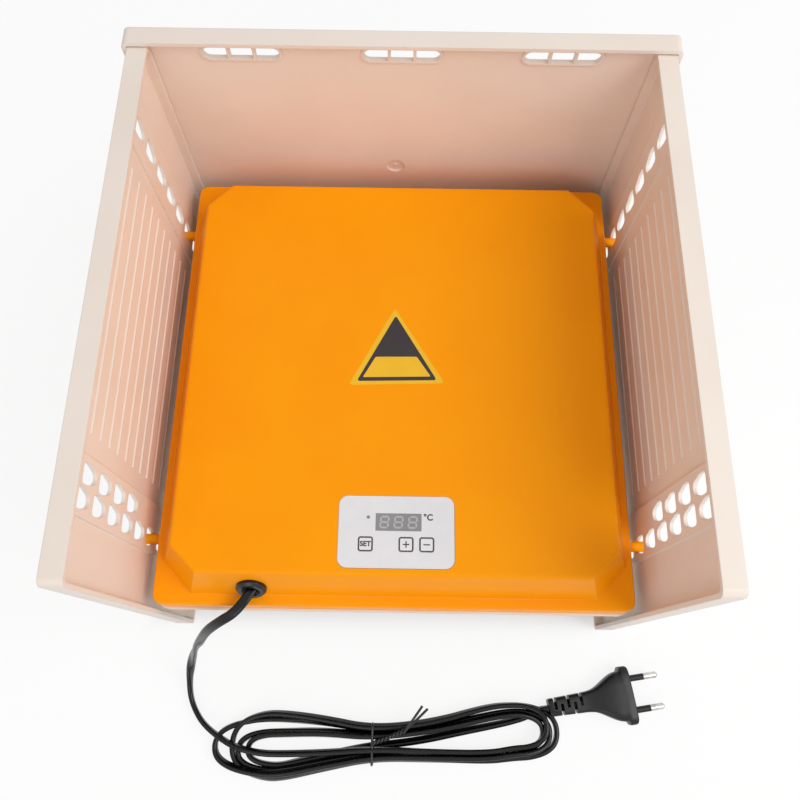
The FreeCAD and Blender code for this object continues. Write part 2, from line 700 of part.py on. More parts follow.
def top_cover():
    """Plate cover: skirt, flange and raised top as one hollow moulding."""
    outer = slab("z", plate_rectangle(0, PLATE_CORNER), SKIRT_Z, FLANGE_Z)
    raised = raised_form(0, TOP_Z, FLANGE_Z)
    crown = edges_near(raised, lambda p: abs(p.z - TOP_Z) < 0.01)
    raised = raised.makeFillet(TOP_EDGE_RADIUS, crown)
    lower_ring = edges_near(outer, lambda p: abs(p.z - FLANGE_Z) < 0.01)
    outer = outer.makeChamfer(COVER_WALL / 4, lower_ring)
    solid = outer.fuse(raised)

    under_flange = FLANGE_Z - COVER_WALL
    hollow = slab("z", plate_rectangle(-COVER_WALL, PLATE_CORNER - COVER_WALL), SKIRT_Z, under_flange)
    hollow = hollow.fuse(raised_form(COVER_WALL, CEILING_Z, under_flange))
    cover = solid.cut(hollow)

    post_top = CEILING_Z + COVER_WALL / 2
    boss_top = FLANGE_Z - COVER_WALL / 2
    bosses = [rod(CASE_BOSS_RADIUS, V(x, y, SKIRT_Z), V(x, y, boss_top)) for x, y in case_screw_places()]
    posts = [rod(BOARD_POST_RADIUS, V(x, y, BOARD_TOP_Z), V(x, y, post_top)) for x, y in board_post_places()]
    bosses += posts
    for y in PEG_PLACES.values():
        inner = V(PLATE_HALF - PEG_SHANK - PEG_COLLAR, y, PEG_Z)
        boss = rod(PEG_BOSS_RADIUS, inner, V(PLATE_HALF - COVER_WALL / 2, y, PEG_Z))
        bosses += [boss, mirrored(boss)]
    cover = cover.fuse(Part.makeCompound(bosses).common(solid))

    cuts = [rod(CASE_SCREW_RADIUS, V(x, y, SKIRT_Z - 1), V(x, y, SKIRT_Z + CASE_SCREW_LENGTH))
            for x, y in case_screw_places()]
    for x, y in board_post_places():
        cuts.append(rod(BOARD_SCREW_RADIUS, V(x, y, BOARD_TOP_Z - 1), V(x, y, CEILING_Z)))
    for y in PEG_PLACES.values():
        bore = rod(PEG_RADIUS, V(PLATE_HALF - PEG_SHANK, y, PEG_Z), V(PLATE_HALF + 1, y, PEG_Z))
        cuts += [bore, mirrored(bore)]

    cuts.append(slab("z", label_rectangle(LABEL_FIT), LABEL_FLOOR_Z, TOP_Z + 1))
    x, y = label_point(DISPLAY_OFFSET)
    half_w, half_d = DISPLAY_WIDTH / 2, DISPLAY_DEPTH / 2
    cuts.append(box(x - half_w, x + half_w, y - half_d, y + half_d, CEILING_Z - 1, TOP_Z))
    x, y = label_point(LED_OFFSET)
    cuts.append(rod(LED_RADIUS + DISPLAY_FIT, V(x, y, CEILING_Z - 1), V(x, y, TOP_Z)))
    for x, y in key_places().values():
        cuts.append(rod(STEM_RADIUS + STEM_CLEARANCE, V(x, y, CEILING_Z - 1), V(x, y, TOP_Z)))
    through = SLOPE_NORMAL * COVER_WALL
    cuts.append(rod(BUSH_NECK_RADIUS, BUSH_AT - through * 2, BUSH_AT + through))
    return cover.cut(Part.makeCompound(cuts)).removeSplitter()


def tray():
    """Pale lower shell: floor, low wall, and a tongue that stands inside the cover's skirt."""
    body = slab("z", plate_rectangle(TRAY_LIP, PLATE_CORNER + TRAY_LIP), TRAY_Z, SKIRT_Z)
    body = body.makeChamfer(TRAY_EDGE, edges_near(body, lambda p: abs(p.z - TRAY_Z) < 0.01))
    tongue_out = COVER_WALL + TRAY_FIT
    tongue_top = SKIRT_Z + TRAY_TONGUE
    tongue = slab("z", plate_rectangle(-tongue_out, PLATE_CORNER - tongue_out), SKIRT_Z, tongue_top)
    well = slab("z", plate_rectangle(-tongue_out - TRAY_WALL, TRAY_LIP), SPREADER_Z, tongue_top + 1)
    body = body.fuse(tongue).cut(well)
    posts = []
    cuts = []
    for x, y in case_screw_places():
        below, head_top = V(x, y, TRAY_Z - 1), V(x, y, TRAY_Z + CASE_SCREW_HEAD_HEIGHT)
        posts.append(rod(CASE_BOSS_RADIUS, V(x, y, TRAY_Z + TRAY_FLOOR / 2), V(x, y, SKIRT_Z)))
        cuts.append(rod(CASE_BOSS_RADIUS + TRAY_FIT, V(x, y, SKIRT_Z), V(x, y, tongue_top + 1)))
        cuts.append(rod(CASE_SCREW_RADIUS + TRAY_FIT, below, V(x, y, SKIRT_Z + 1)))
        cuts.append(rod(CASE_SCREW_HEAD + TRAY_FIT, below, head_top))
    for y in PEG_PLACES.values():
        inner = V(PLATE_HALF - PEG_SHANK - PEG_COLLAR - 1, y, PEG_Z)
        boss = rod(PEG_BOSS_RADIUS + TRAY_FIT, inner, V(PLATE_HALF, y, PEG_Z))
        reach = 2 * PEG_BOSS_RADIUS
        above = boss.common(box(0, PLATE_HALF, y - reach, y + reach, SKIRT_Z, FLANGE_Z))
        cuts += [above, mirrored(above)]
    return body.fuse(Part.makeCompound(posts)).cut(Part.makeCompound(cuts)).removeSplitter()


def pegs():
    """Four turned pegs: a shank in the cover's boss, a collar, and a stub in the panel's hole."""
    reach = SIDE_WEB_X + SIDE_WEB + PEG_PROUD - PLATE_HALF
    profile = [
        (0, -PEG_SHANK), (PEG_RADIUS, -PEG_SHANK), (PEG_RADIUS, 0), (PEG_COLLAR_RADIUS, 0),
        (PEG_COLLAR_RADIUS, PEG_COLLAR / 2), (PEG_COLLAR_RADIUS - PEG_COLLAR / 2, PEG_COLLAR),
        (PEG_RADIUS, PEG_COLLAR), (PEG_RADIUS, reach - PEG_TIP), (PEG_RADIUS - PEG_TIP, reach), (0, reach),
    ]
    made = {}
    for where, y in PEG_PLACES.items():
        right = turned(profile, V(PLATE_HALF, y, PEG_Z), V(1, 0, 0))
        made[f"peg_{where}_right"] = right
        made[f"peg_{where}_left"] = mirrored(right)
    return made


def screw_profile(head, head_height, radius, length):
    """Half section of a screw with a flat head, its head's outer face at height 0."""
    return [
        (0, 0), (head, 0), (head, head_height), (radius, head_height), (radius, length), (0, length),
    ]


def case_screws():
    """Screws that hold the tray to the cover, as one group."""
    profile = screw_profile(CASE_SCREW_HEAD, CASE_SCREW_HEAD_HEIGHT, CASE_SCREW_RADIUS, CASE_SCREW_LENGTH)
    return Part.makeCompound([turned(profile, V(x, y, TRAY_Z), V(0, 0, 1)) for x, y in case_screw_places()])


def stack_outline(margin):
    """Outline of a sheet that lies in the tray."""
    x = PLATE_HALF - COVER_WALL - TRAY_WALL - margin
    inset = PLATE_HALF - x
    return rectangle(-x, x, PLATE_FRONT_Y + inset, PLATE_BACK_Y - inset, STACK_CORNER)


def heat_stack():
    """Aluminium spreader, heating foil and insulation, one on the other."""
    spreader = slab("z", stack_outline(STACK_MARGIN), SPREADER_Z, FOIL_Z)
    foil = slab("z", stack_outline(STACK_MARGIN + FOIL_MARGIN), FOIL_Z, INSULATION_Z)
    top = INSULATION_Z + INSULATION
    pad = slab("z", stack_outline(STACK_MARGIN + INSULATION_MARGIN), INSULATION_Z, top)
    pad = pad.cut(rod(SENSOR_RADIUS + POCKET_GAP, sensor_place(), sensor_place() + V(0, 0, 2 * INSULATION)))
    for tab in foil_tabs():
        pad = pad.cut(rod(WIRE_RADIUS + POCKET_GAP, tab, tab + V(0, 0, 2 * INSULATION)))
    at = cutout_place()
    half_w, half_d = CUTOUT_SIZE[0] / 2 + POCKET_GAP, CUTOUT_SIZE[1] / 2 + POCKET_GAP
    pad = pad.cut(box(at.x - half_w, at.x + half_w, at.y - half_d, at.y + half_d, INSULATION_Z, top + 1))
    return {"heat_spreader": spreader, "heating_foil": foil, "insulation_pad": pad}


def sensor_place():
    """Foot of the temperature sensor on the foil."""
    return V(SENSOR_X, PLATE_FRONT_Y + SENSOR_FROM_FRONT, INSULATION_Z)


def cutout_place():
    """Foot of the thermal cutout on the foil, in line with the heater's terminal block."""
    return V(terminal_place("heater_terminal").x, PLATE_FRONT_Y + CUTOUT_FROM_FRONT, INSULATION_Z)


def foil_tabs():
    """Two places on the foil where its wires are soldered: beside the cutout, and near the board."""
    cutout = cutout_place()
    right = wire_mouths("heater_terminal")[0]
    near = V(right.x + 2 * WIRE_LIFT, right.y + FOIL_TAB_FROM_BOARD, INSULATION_Z)
    return [cutout + V(CUTOUT_SIZE[0] / 4 + FOIL_TAB_STEP, 0, 0), near]


def label_rectangle(grow):
    """Corners of the label's outline, moved out by grow."""
    half_w, half_d = LABEL_WIDTH / 2 + grow, LABEL_DEPTH / 2 + grow
    return rectangle(
        LABEL_X - half_w, LABEL_X + half_w, LABEL_Y - half_d, LABEL_Y + half_d, LABEL_CORNER + grow
    )


def label_parts():
    """Control label with its window and three keys."""
    label = slab("z", label_rectangle(0), LABEL_FLOOR_Z, LABEL_TOP_Z)
    x, y = label_point(DISPLAY_OFFSET)
    half_w, half_d = DISPLAY_WIDTH / 2, DISPLAY_DEPTH / 2
    below, above = LABEL_FLOOR_Z - 1, LABEL_TOP_Z + 1
    window_z = LABEL_TOP_Z - WINDOW_THICKNESS
    label = label.cut(box(x - half_w, x + half_w, y - half_d, y + half_d, below, above))
    window = box(x - half_w, x + half_w, y - half_d, y + half_d, window_z, LABEL_TOP_Z)
    x, y = label_point(LED_OFFSET)
    label = label.cut(rod(LED_RADIUS + DISPLAY_FIT, V(x, y, below), V(x, y, above)))
    made = {"display_window": window}
    for name, (x, y) in key_places().items():
        half = KEY_SIZE / 2
        opening = rectangle(x - half, x + half, y - half, y + half, KEY_CORNER)
        label = label.cut(slab("z", opening, below, above))
        half -= KEY_GAP
        cap = slab(
            "z", rectangle(x - half, x + half, y - half, y + half, KEY_CORNER - KEY_GAP),
            LABEL_TOP_Z - KEY_CAP, LABEL_TOP_Z
        )
        flange_top = CEILING_Z - DISPLAY_FIT
        stem = rod(STEM_RADIUS, V(x, y, plunger_top()), V(x, y, LABEL_TOP_Z - KEY_CAP / 2))
        flange = rod(STEM_FLANGE_RADIUS, V(x, y, flange_top - STEM_FLANGE), V(x, y, flange_top))
        made[f"key_{name}"] = fused([cap, stem, flange])
        made[f"plunger_{name}"] = rod(
            PLUNGER_RADIUS, V(x, y, BOARD_TOP_Z + SWITCH_HEIGHT - PLUNGER_SINK / 2), V(x, y, plunger_top())
        )
    made["control_label"] = label
    return made


def plunger_top():
    """Height of a tact switch's plunger at rest."""
    return BOARD_TOP_Z + SWITCH_HEIGHT + PLUNGER_SINK / 2


def under_board(size, x, y):
    """Block soldered under the board, its middle at x and y from the label's middle."""
    w, d, h = size
    x, y = LABEL_X + x, LABEL_Y + y
    return box(x - w / 2, x + w / 2, y - d / 2, y + d / 2, BOARD_UNDER_Z - h, BOARD_UNDER_Z)


def terminal_frame(name):
    """Place of a terminal block, whose wires enter along its own +Y."""
    edge_x, edge_y = BOARD_WIDTH / 2 - TERMINAL[1] / 2, BOARD_DEPTH / 2 - TERMINAL[1] / 2
    x, y, turn = {
        "mains_terminal": (-edge_x, 0, -90),
        "heater_terminal": (BOARD_WIDTH / 2 - HEATER_TERMINAL_INSET, edge_y, 180),
    }[name]
    return FreeCAD.Placement(V(LABEL_X + x, LABEL_Y + y, BOARD_UNDER_Z), FreeCAD.Rotation(V(0, 0, 1), turn))


def terminal_place(name):
    """Middle of a terminal block where it meets the board."""
    return terminal_frame(name).Base


def wire_mouths(name):
    """Where the two wires enter a terminal block."""
    frame = terminal_frame(name)
    return [frame.multVec(V(side * TERMINAL[0] / 4, -TERMINAL[1] / 2, -TERMINAL[2] / 2)) for side in (-1, 1)]


def terminal_block(name):
    """Terminal block with two screw wells that open downwards."""
    w, d, h = TERMINAL
    block = box(-w / 2, w / 2, -d / 2, d / 2, -h, 0)
    for side in (-1, 1):
        low = V(side * w / 4, 0, -h)
        block = block.cut(rod(TERMINAL_SCREW_RADIUS, low, low + V(0, 0, TERMINAL_SCREW_DEPTH)))
    block.Placement = terminal_frame(name)
    return block


def board_parts():
    """Control board with switches, display, lamp, relay, capacitor, fuse and terminals."""
    board = box(
        LABEL_X - BOARD_WIDTH / 2, LABEL_X + BOARD_WIDTH / 2,
        LABEL_Y - BOARD_DEPTH / 2, LABEL_Y + BOARD_DEPTH / 2, BOARD_UNDER_Z, BOARD_TOP_Z
    )
    screws = []
    length = BOARD_SCREW_HEAD_HEIGHT + BOARD_DROP
    profile = screw_profile(BOARD_SCREW_HEAD, BOARD_SCREW_HEAD_HEIGHT, BOARD_SCREW_RADIUS, length)
    for x, y in board_post_places():
        board = board.cut(rod(BOARD_SCREW_RADIUS, V(x, y, BOARD_UNDER_Z - 1), V(x, y, BOARD_TOP_Z + 1)))
        screws.append(turned(profile, V(x, y, BOARD_UNDER_Z - BOARD_SCREW_HEAD_HEIGHT), V(0, 0, 1)))

    switches = []
    for x, y in key_places().values():
        half = SWITCH_SIZE / 2
        body = box(x - half, x + half, y - half, y + half, BOARD_TOP_Z, BOARD_TOP_Z + SWITCH_HEIGHT)
        sink = V(x, y, BOARD_TOP_Z + SWITCH_HEIGHT - PLUNGER_SINK / 2 - KEY_TRAVEL - PEG_CLEARANCE)
        well = rod(PLUNGER_RADIUS + PEG_CLEARANCE, sink, V(x, y, BOARD_TOP_Z + 2 * SWITCH_HEIGHT))
        switches.append(body.cut(well))

    x, y = label_point(DISPLAY_OFFSET)
    half_w, half_d = DISPLAY_WIDTH / 2 - DISPLAY_FIT, DISPLAY_DEPTH / 2 - DISPLAY_FIT
    display = box(x - half_w, x + half_w, y - half_d, y + half_d, BOARD_TOP_Z, LABEL_TOP_Z - WINDOW_THICKNESS)

    x, y = label_point(LED_OFFSET)
    lamp_z = LABEL_TOP_Z - LED_LENGTH
    flange_z = lamp_z + LED_FLANGE_HEIGHT
    lamp = [
        rod(LED_RADIUS, V(x, y, lamp_z), V(x, y, LABEL_TOP_Z)),
        rod(LED_FLANGE, V(x, y, lamp_z), V(x, y, flange_z)),
    ]
    for leg in (x - LED_LEG_SPACING / 2, x + LED_LEG_SPACING / 2):
        lamp.append(rod(LED_LEG_RADIUS, V(leg, y, BOARD_TOP_Z), V(leg, y, (lamp_z + flange_z) / 2)))
    relay_x = -BOARD_WIDTH / 2 + TERMINAL[1] + PART_GAP + RELAY[0] / 2
    capacitor_x = relay_x + (RELAY[0] + CAPACITOR[0]) / 2 + PART_GAP
    made = {
        "control_board": board,
        "board_screws": Part.makeCompound(screws),
        "tact_switches": Part.makeCompound(switches),
        "display_module": display,
        "status_lamp": fused(lamp),
        "relay": under_board(RELAY, relay_x, 0),
        "filter_capacitor": under_board(CAPACITOR, capacitor_x, CAPACITOR_Y),
        "board_fuse": under_board(FUSE, capacitor_x, FUSE_Y),
        "regulator": under_board(REGULATOR, capacitor_x + (CAPACITOR[0] + REGULATOR[0]) / 2 + PART_GAP, 0),
        "mains_terminal": terminal_block("mains_terminal"),
        "heater_terminal": terminal_block("heater_terminal"),
    }
    return made


def sensor_parts():
    """Temperature sensor and thermal cutout on the foil, with the wires between foil, cutout and board."""
    foot = sensor_place()
    head = foot + V(0, 0, SENSOR_HEIGHT)
    landing_y = LABEL_Y + BOARD_DEPTH / 2 - SENSOR_WIRE_INSET
    over = INSULATION_Z + INSULATION + WIRE_LIFT
    sensor_wires = []
    for side in (-0.5, 0.5):
        x = foot.x + side * SENSOR_WIRE_SPACING
        sensor_wires.append(tube([
            V(x, head.y, head.z), V(x, head.y, over + 1), V(x, head.y - 12, over + 3),
            V(x, landing_y + 14, over + 7), V(x, landing_y, BOARD_UNDER_Z - 6),
            V(x, landing_y, BOARD_UNDER_Z),
        ], SENSOR_WIRE_RADIUS, sides=WIRE_SIDES))

    w, d, h = CUTOUT_SIZE
    at = cutout_place()
    cutout = box(at.x - w / 2, at.x + w / 2, at.y - d / 2, at.y + d / 2, at.z, at.z + h)
    lugs = [V(at.x + side * TERMINAL[0] / 4, at.y, at.z + h) for side in (-1, 1)]
    beside, near = foil_tabs()
    right, left = wire_mouths("heater_terminal")
    to_cutout = tube([
        lugs[0], V(left.x, at.y, over), V(left.x, at.y - 12, over + 3), V(left.x, left.y + 22, over + 5),
        V(left.x, left.y + 9, left.z), left,
    ], WIRE_RADIUS, sides=WIRE_SIDES)
    from_cutout = tube([
        lugs[1], V(lugs[1].x, at.y, over), V((lugs[1].x + beside.x) / 2, at.y - 2, over + 3),
        V(beside.x, at.y, over), beside,
    ], WIRE_RADIUS, sides=WIRE_SIDES)
    to_foil = tube([
        right, V(right.x, right.y + 8, right.z), V((right.x + near.x) / 2, near.y - 6, right.z - 2),
        V(near.x, near.y, over), near,
    ], WIRE_RADIUS, sides=WIRE_SIDES)
    return {
        "temperature_sensor": rod(SENSOR_RADIUS, foot, head),
        "sensor_wires": Part.makeCompound(sensor_wires),
        "thermal_cutout": cutout,
        "heater_wires": Part.makeCompound([to_cutout, from_cutout, to_foil]),
    }


# Lead


def bush():
    """Rubber bush in the front slope: a domed ring outside, a neck through the wall and a flange inside."""
    wall = COVER_WALL
    profile = [
        (0, -wall - BUSH_INNER), (BUSH_INNER_RADIUS, -wall - BUSH_INNER), (BUSH_INNER_RADIUS, -wall),
        (BUSH_NECK_RADIUS, -wall), (BUSH_NECK_RADIUS, 0), (BUSH_RADIUS, 0),
        (BUSH_RADIUS, BUSH_PROUD - BUSH_EDGE), (BUSH_RADIUS - BUSH_EDGE, BUSH_PROUD), (0, BUSH_PROUD),
    ]
    body = turned(profile, BUSH_AT, SLOPE_NORMAL)
    lead_bore = LEAD_DIAMETER / 2 + LEAD_FIT
    body = body.cut(rod(lead_bore, LEAD_MOUTH - LEAD_EXIT * FAR, LEAD_MOUTH + LEAD_EXIT * FAR))
    mouth = Part.makeCone(
        lead_bore, BUSH_MOUTH_RADIUS, BUSH_MOUTH_DEPTH,
        BUSH_AT + SLOPE_NORMAL * (BUSH_PROUD - BUSH_MOUTH_DEPTH), SLOPE_NORMAL
    )
    return body.cut(mouth)


def clamp_parts():
    """Saddle on the lead inside the cover, with its two screws."""
    half_w, half_l = CLAMP_WIDTH / 2, CLAMP_LENGTH / 2
    radius = LEAD_DIAMETER / 2
    grip = rod(radius, V(-FAR, 0, 0), V(FAR, 0, 0))
    pitch = math.asin(LEAD_EXIT.z)
    grip.rotate(V(), V(0, 1, 0), -math.degrees(pitch))
    cap = box(-half_l, half_l, -half_w, half_w, -radius - CLAMP_CAP, -CLAMP_GAP).cut(grip)
    head = CLAMP_SCREW_HEAD_HEIGHT
    profile = screw_profile(CLAMP_SCREW_HEAD, head, CLAMP_SCREW_RADIUS, head + CLAMP_SCREW_LENGTH)
    screws = []
    for side in (-1, 1):
        y = side * (half_w - CLAMP_SCREW_INSET)
        cap = cap.cut(rod(CLAMP_SCREW_RADIUS, V(0, y, -FAR), V(0, y, FAR)))
        screws.append(turned(profile, V(0, y, -radius - CLAMP_CAP - head), V(0, 0, 1)))
    return {"lead_clamp": clamp_frame(cap), "clamp_screws": clamp_frame(Part.makeCompound(screws))}


def clamp_seat():
    """Block moulded under the cover's top, which the clamp presses the lead against."""
    half_w, half_l = CLAMP_WIDTH / 2, CLAMP_LENGTH / 2
    block = clamp_frame(box(-half_l, half_l, -half_w, half_w, 0, TOP_Z - COVER_WALL / 2 - clamp_base().z))
    reach = LEAD_EXIT * FAR
    block = block.cut(rod(LEAD_DIAMETER / 2 + CLAMP_FIT, clamp_base() - reach, clamp_base() + reach))
    hole_top = CLAMP_SCREW_LENGTH - LEAD_DIAMETER / 2
    holes = []
    for side in (-1, 1):
        y = side * (half_w - CLAMP_SCREW_INSET)
        holes.append(rod(CLAMP_SCREW_RADIUS, V(0, y, -1), V(0, y, hole_top)))
    return block.cut(clamp_frame(Part.makeCompound(holes)))


def mains_wires():
    """The lead's two cores, from its cut end to the mains terminals."""
    across = V(-LEAD_EXIT.y, LEAD_EXIT.x, 0)
    across.normalize()
    wires = []
    for side, mouth in zip((-1, 1), wire_mouths("mains_terminal")):
        root = INNER_LEAD_END - across * side * CORE_SPACING / 2
        out = mouth - V(CORE_ENTRY, 0, 0)
        bend = root - LEAD_EXIT * CORE_STRAIGHT
        middle = V((bend.x + out.x) / 2, (bend.y + 2 * out.y) / 3, out.z - 3)
        wires.append(tube([root, bend, middle, out, mouth], WIRE_RADIUS, sides=WIRE_SIDES))
    return Part.makeCompound(wires)


def plug_point(u, v, z):
    """Point on the plug: u along its pins from the face, v across, z above the floor."""
    turn = math.radians(PLUG_ANGLE)
    x = PLUG_FACE[0] + u * math.cos(turn) - v * math.sin(turn)
    y = FRONT_Y + PLUG_FACE[1] + u * math.sin(turn) + v * math.cos(turn)
    return V(x, y, z)


def plug_place(shape):
    """Move a shape from the plug's own axes to its place on the floor."""
    turn = FreeCAD.Rotation(V(0, 0, 1), PLUG_ANGLE)
    shape.Placement = FreeCAD.Placement(plug_point(0, 0, PLUG_HEIGHT / 2), turn)
    return shape


def plug_parts():
    """Flat two-pin plug with a slotted strain relief, sleeved pins and metal tips."""
    half, waist = PLUG_WIDTH / 2, RELIEF_WIDTH / 2
    shoulder = PLUG_SHOULDER_WIDTH / 2
    root = -PLUG_FLANGE - PLUG_SHOULDER
    neck = root - PLUG_NECK
    side = [V(-PLUG_BODY, waist, 0), V(-PLUG_BODY * 0.72, waist * 1.12, 0), V(neck, shoulder - 1.5, 0)]
    leaving = [V(1, 0, 0), V(0, 1, 0), V(1, 0.5, 0)]
    curve = Part.BSplineCurve()
    curve.interpolate(side, Tangents=leaving, TangentFlags=[True, False, True])
    edge = curve.toShape()
    taper_u, taper_v = PLUG_FACE_TAPER
    corner = [V(neck, shoulder - 1.5, 0), V(root, shoulder, 0), V(-PLUG_FLANGE, shoulder + 0.4, 0),
              V(-PLUG_FLANGE + PLUG_FLANGE_TAPER, half, 0), V(-taper_u, half, 0), V(0, half - taper_v, 0)]
    upper = [edge] + [Part.LineSegment(a, b).toShape() for a, b in zip(corner, corner[1:])]
    lower = [e.mirror(V(), V(0, 1, 0)) for e in upper]
    closing = [
        Part.LineSegment(corner[-1], V(corner[-1].x, -corner[-1].y, 0)).toShape(),
        Part.LineSegment(side[0], V(side[0].x, -side[0].y, 0)).toShape(),
    ]
    face = Part.Face(Part.Wire(Part.__sortEdges__(upper + lower + closing)))
    body = face.extrude(V(0, 0, PLUG_HEIGHT))
    body.translate(V(0, 0, -PLUG_HEIGHT / 2))
    wedge = slab("y", [
        (-PLUG_BODY - 1, -RELIEF_HEIGHT / 2, 0), (-PLUG_BODY * 0.8, -RELIEF_HEIGHT / 2, 0),
        (neck, -PLUG_HEIGHT / 2, 0), (1, -PLUG_HEIGHT / 2, 0), (1, PLUG_HEIGHT / 2, 0),
        (neck, PLUG_HEIGHT / 2, 0), (-PLUG_BODY * 0.8, RELIEF_HEIGHT / 2, 0),
        (-PLUG_BODY - 1, RELIEF_HEIGHT / 2, 0),
    ], -half - 1, half + 1)
    body = body.common(wedge)

    tail = -PLUG_BODY - RELIEF_LENGTH
    end = RELIEF_END_WIDTH / 2
    relief = slab("z", [
        (tail, -end, 1.0), (tail, end, 1.0), (-PLUG_BODY, waist, 0), (-PLUG_BODY, -waist, 0),
    ], -RELIEF_HEIGHT / 2, RELIEF_HEIGHT / 2)
    pitch = RELIEF_LENGTH / (RELIEF_SLOTS + 1)
    for k in range(RELIEF_SLOTS):
        u = tail + (k + 1) * pitch
        low, high = (-waist - 1, waist * 0.2) if k % 2 else (-waist * 0.2, waist + 1)
        slot = box(u - RELIEF_SLOT / 2, u + RELIEF_SLOT / 2, low, high, -PLUG_HEIGHT, PLUG_HEIGHT)
        relief = relief.cut(slot)
    lead_hole = rod(LEAD_DIAMETER / 2, V(tail - 1, 0, 0), V(tail + LEAD_IN_RELIEF, 0, 0))
    body = fused([body, relief.cut(lead_hole)])

    pins, sleeves, sockets = [], [], []
    for v in (-PIN_SPACING / 2, PIN_SPACING / 2):
        root_at = V(-PIN_ROOT, v, 0)
        tip = PIN_ROOT + PIN_LENGTH
        core = PIN_RADIUS - PIN_SLEEVE_WALL
        sleeve_end = PIN_ROOT + PIN_SLEEVE
        pins.append(turned([
            (0, 0), (PIN_RADIUS, 0), (PIN_RADIUS, PIN_ROOT), (core, PIN_ROOT), (core, sleeve_end),
            (PIN_RADIUS, sleeve_end), (PIN_RADIUS, tip - 1), (PIN_RADIUS - 1, tip), (0, tip),
        ], root_at, V(1, 0, 0)))
        sleeve = rod(PIN_RADIUS, V(0, v, 0), V(PIN_SLEEVE, v, 0))
        sleeves.append(sleeve.cut(rod(core, V(0, v, 0), V(PIN_SLEEVE, v, 0))))
        sockets.append(rod(PIN_RADIUS, root_at, V(1, v, 0)))
    body = body.cut(Part.makeCompound(sockets))
    return {
        "plug_body": plug_place(body),
        "plug_pins": plug_place(Part.makeCompound(pins)),
        "pin_sleeves": plug_place(Part.makeCompound(sleeves)),
    }


def tie_loop(grow):
    """Block-shaped band round the hank's waist, made larger by grow."""
    x, y = TIE_AT[0], FRONT_Y + TIE_AT[1]
    half = TIE_WIDTH / 2
    reach = TIE_REACH + grow
    top = HANK_HEIGHT + TIE_OVER_HANK
    around = rectangle(y - reach, y + reach, TIE_FLOOR - grow, top + grow, TIE_CORNER)
    outer = slab("x", around, x - half, x + half)
    inner_reach = TIE_REACH - TIE_DEPTH
    inner = rectangle(
        y - inner_reach, y + inner_reach, TIE_FLOOR + TIE_DEPTH, top - TIE_DEPTH, TIE_CORNER - TIE_DEPTH
    )
    return outer.cut(slab("x", inner, x - half, x + half))


def hank():
    """Outer shape of the bundled lead, with a groove for the tie."""
    body = slab("z", HANK_OUTLINE, 0, HANK_HEIGHT)
    rims = edges_near(body, lambda p: abs(p.z - HANK_HEIGHT / 2) > HANK_HEIGHT / 2 - 0.01)
    return body.makeChamfer(HANK_EDGE, rims).cut(tie_loop(TIE_GROOVE))


def twist_tie():
    """Wire tie round the hank, its two ends twisted together and standing off to one side."""
    top = V(TIE_AT[0], FRONT_Y + TIE_AT[1], HANK_HEIGHT + TIE_OVER_HANK + TIE_WIDTH / 2)
    twist = top + V(*TIE_TWIST)
    pieces = [tie_loop(0), rod(TIE_WIDTH / 2, top + V(*TIE_KNOT), twist)]
    pieces += [rod(TIE_WIDTH / 2, twist, top + V(*end)) for end in TIE_ENDS]
    return fused(pieces)


def lead_parts():
    """The free lead from the clamp to the hank, and from the hank to the plug."""
    lead = tube(LEAD_ROUTE, LEAD_DIAMETER / 2, "lead")
    relief_end = -PLUG_BODY - RELIEF_LENGTH
    tail_end = plug_point(relief_end + LEAD_IN_RELIEF, 0, PLUG_HEIGHT / 2)
    route = [plug_point(relief_end + along, 0, PLUG_HEIGHT / 2) + V(*aside) for along, aside in TAIL_RUNS]
    tail = tube(route[::-1] + [tail_end], LEAD_DIAMETER / 2, "tail")
    body = hank()
    inner = rod(LEAD_DIAMETER / 2, INNER_LEAD_END, INNER_LEAD_START)
    return {"lead": lead, "inner_lead": inner, "lead_tail": tail.cut(body), "lead_hank": body}


def main():
    """Build every node and write its file."""
    os.makedirs(OUT, exist_ok=True)
    cover = fused([top_cover(), clamp_seat()])
    right = side_panel()
    nodes = {
        "back_panel": back_panel(),
        "side_panel_right": right,
        "side_panel_left": mirrored(right),
        "top_cover": cover,
        "tray": tray(),
        "case_screws": case_screws(),
        "lead_bush": bush(),
        "mains_wires": mains_wires(),
        "twist_tie": twist_tie(),
    }
    for group in (pegs(), heat_stack(), label_parts(), board_parts(), sensor_parts(), clamp_parts(),
                  plug_parts(), lead_parts()):
        nodes.update(group)
    for node, shape in nodes.items():
        export(node, shape)
        if not shape.isValid() or shape.Volume <= 0:
            print("check", node, shape.isValid(), round(shape.Volume, 1))
    print(len(nodes), "nodes")


main()
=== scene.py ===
"""Looks of a chick brooder heater: finishes, lead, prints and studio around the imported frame.

Every object is in metres, in the frame's own axes: X to the right, Y to the back, Z up.
Sizes below are written in millimetres and are turned into metres by `metres` where a mesh is made.
"""

from __future__ import annotations

import json
import logging
import math
from dataclasses import dataclass, field
from enum import Enum
from typing import Any, Iterable, NamedTuple, Sequence, Union

import bpy
from mathutils import Matrix, Vector

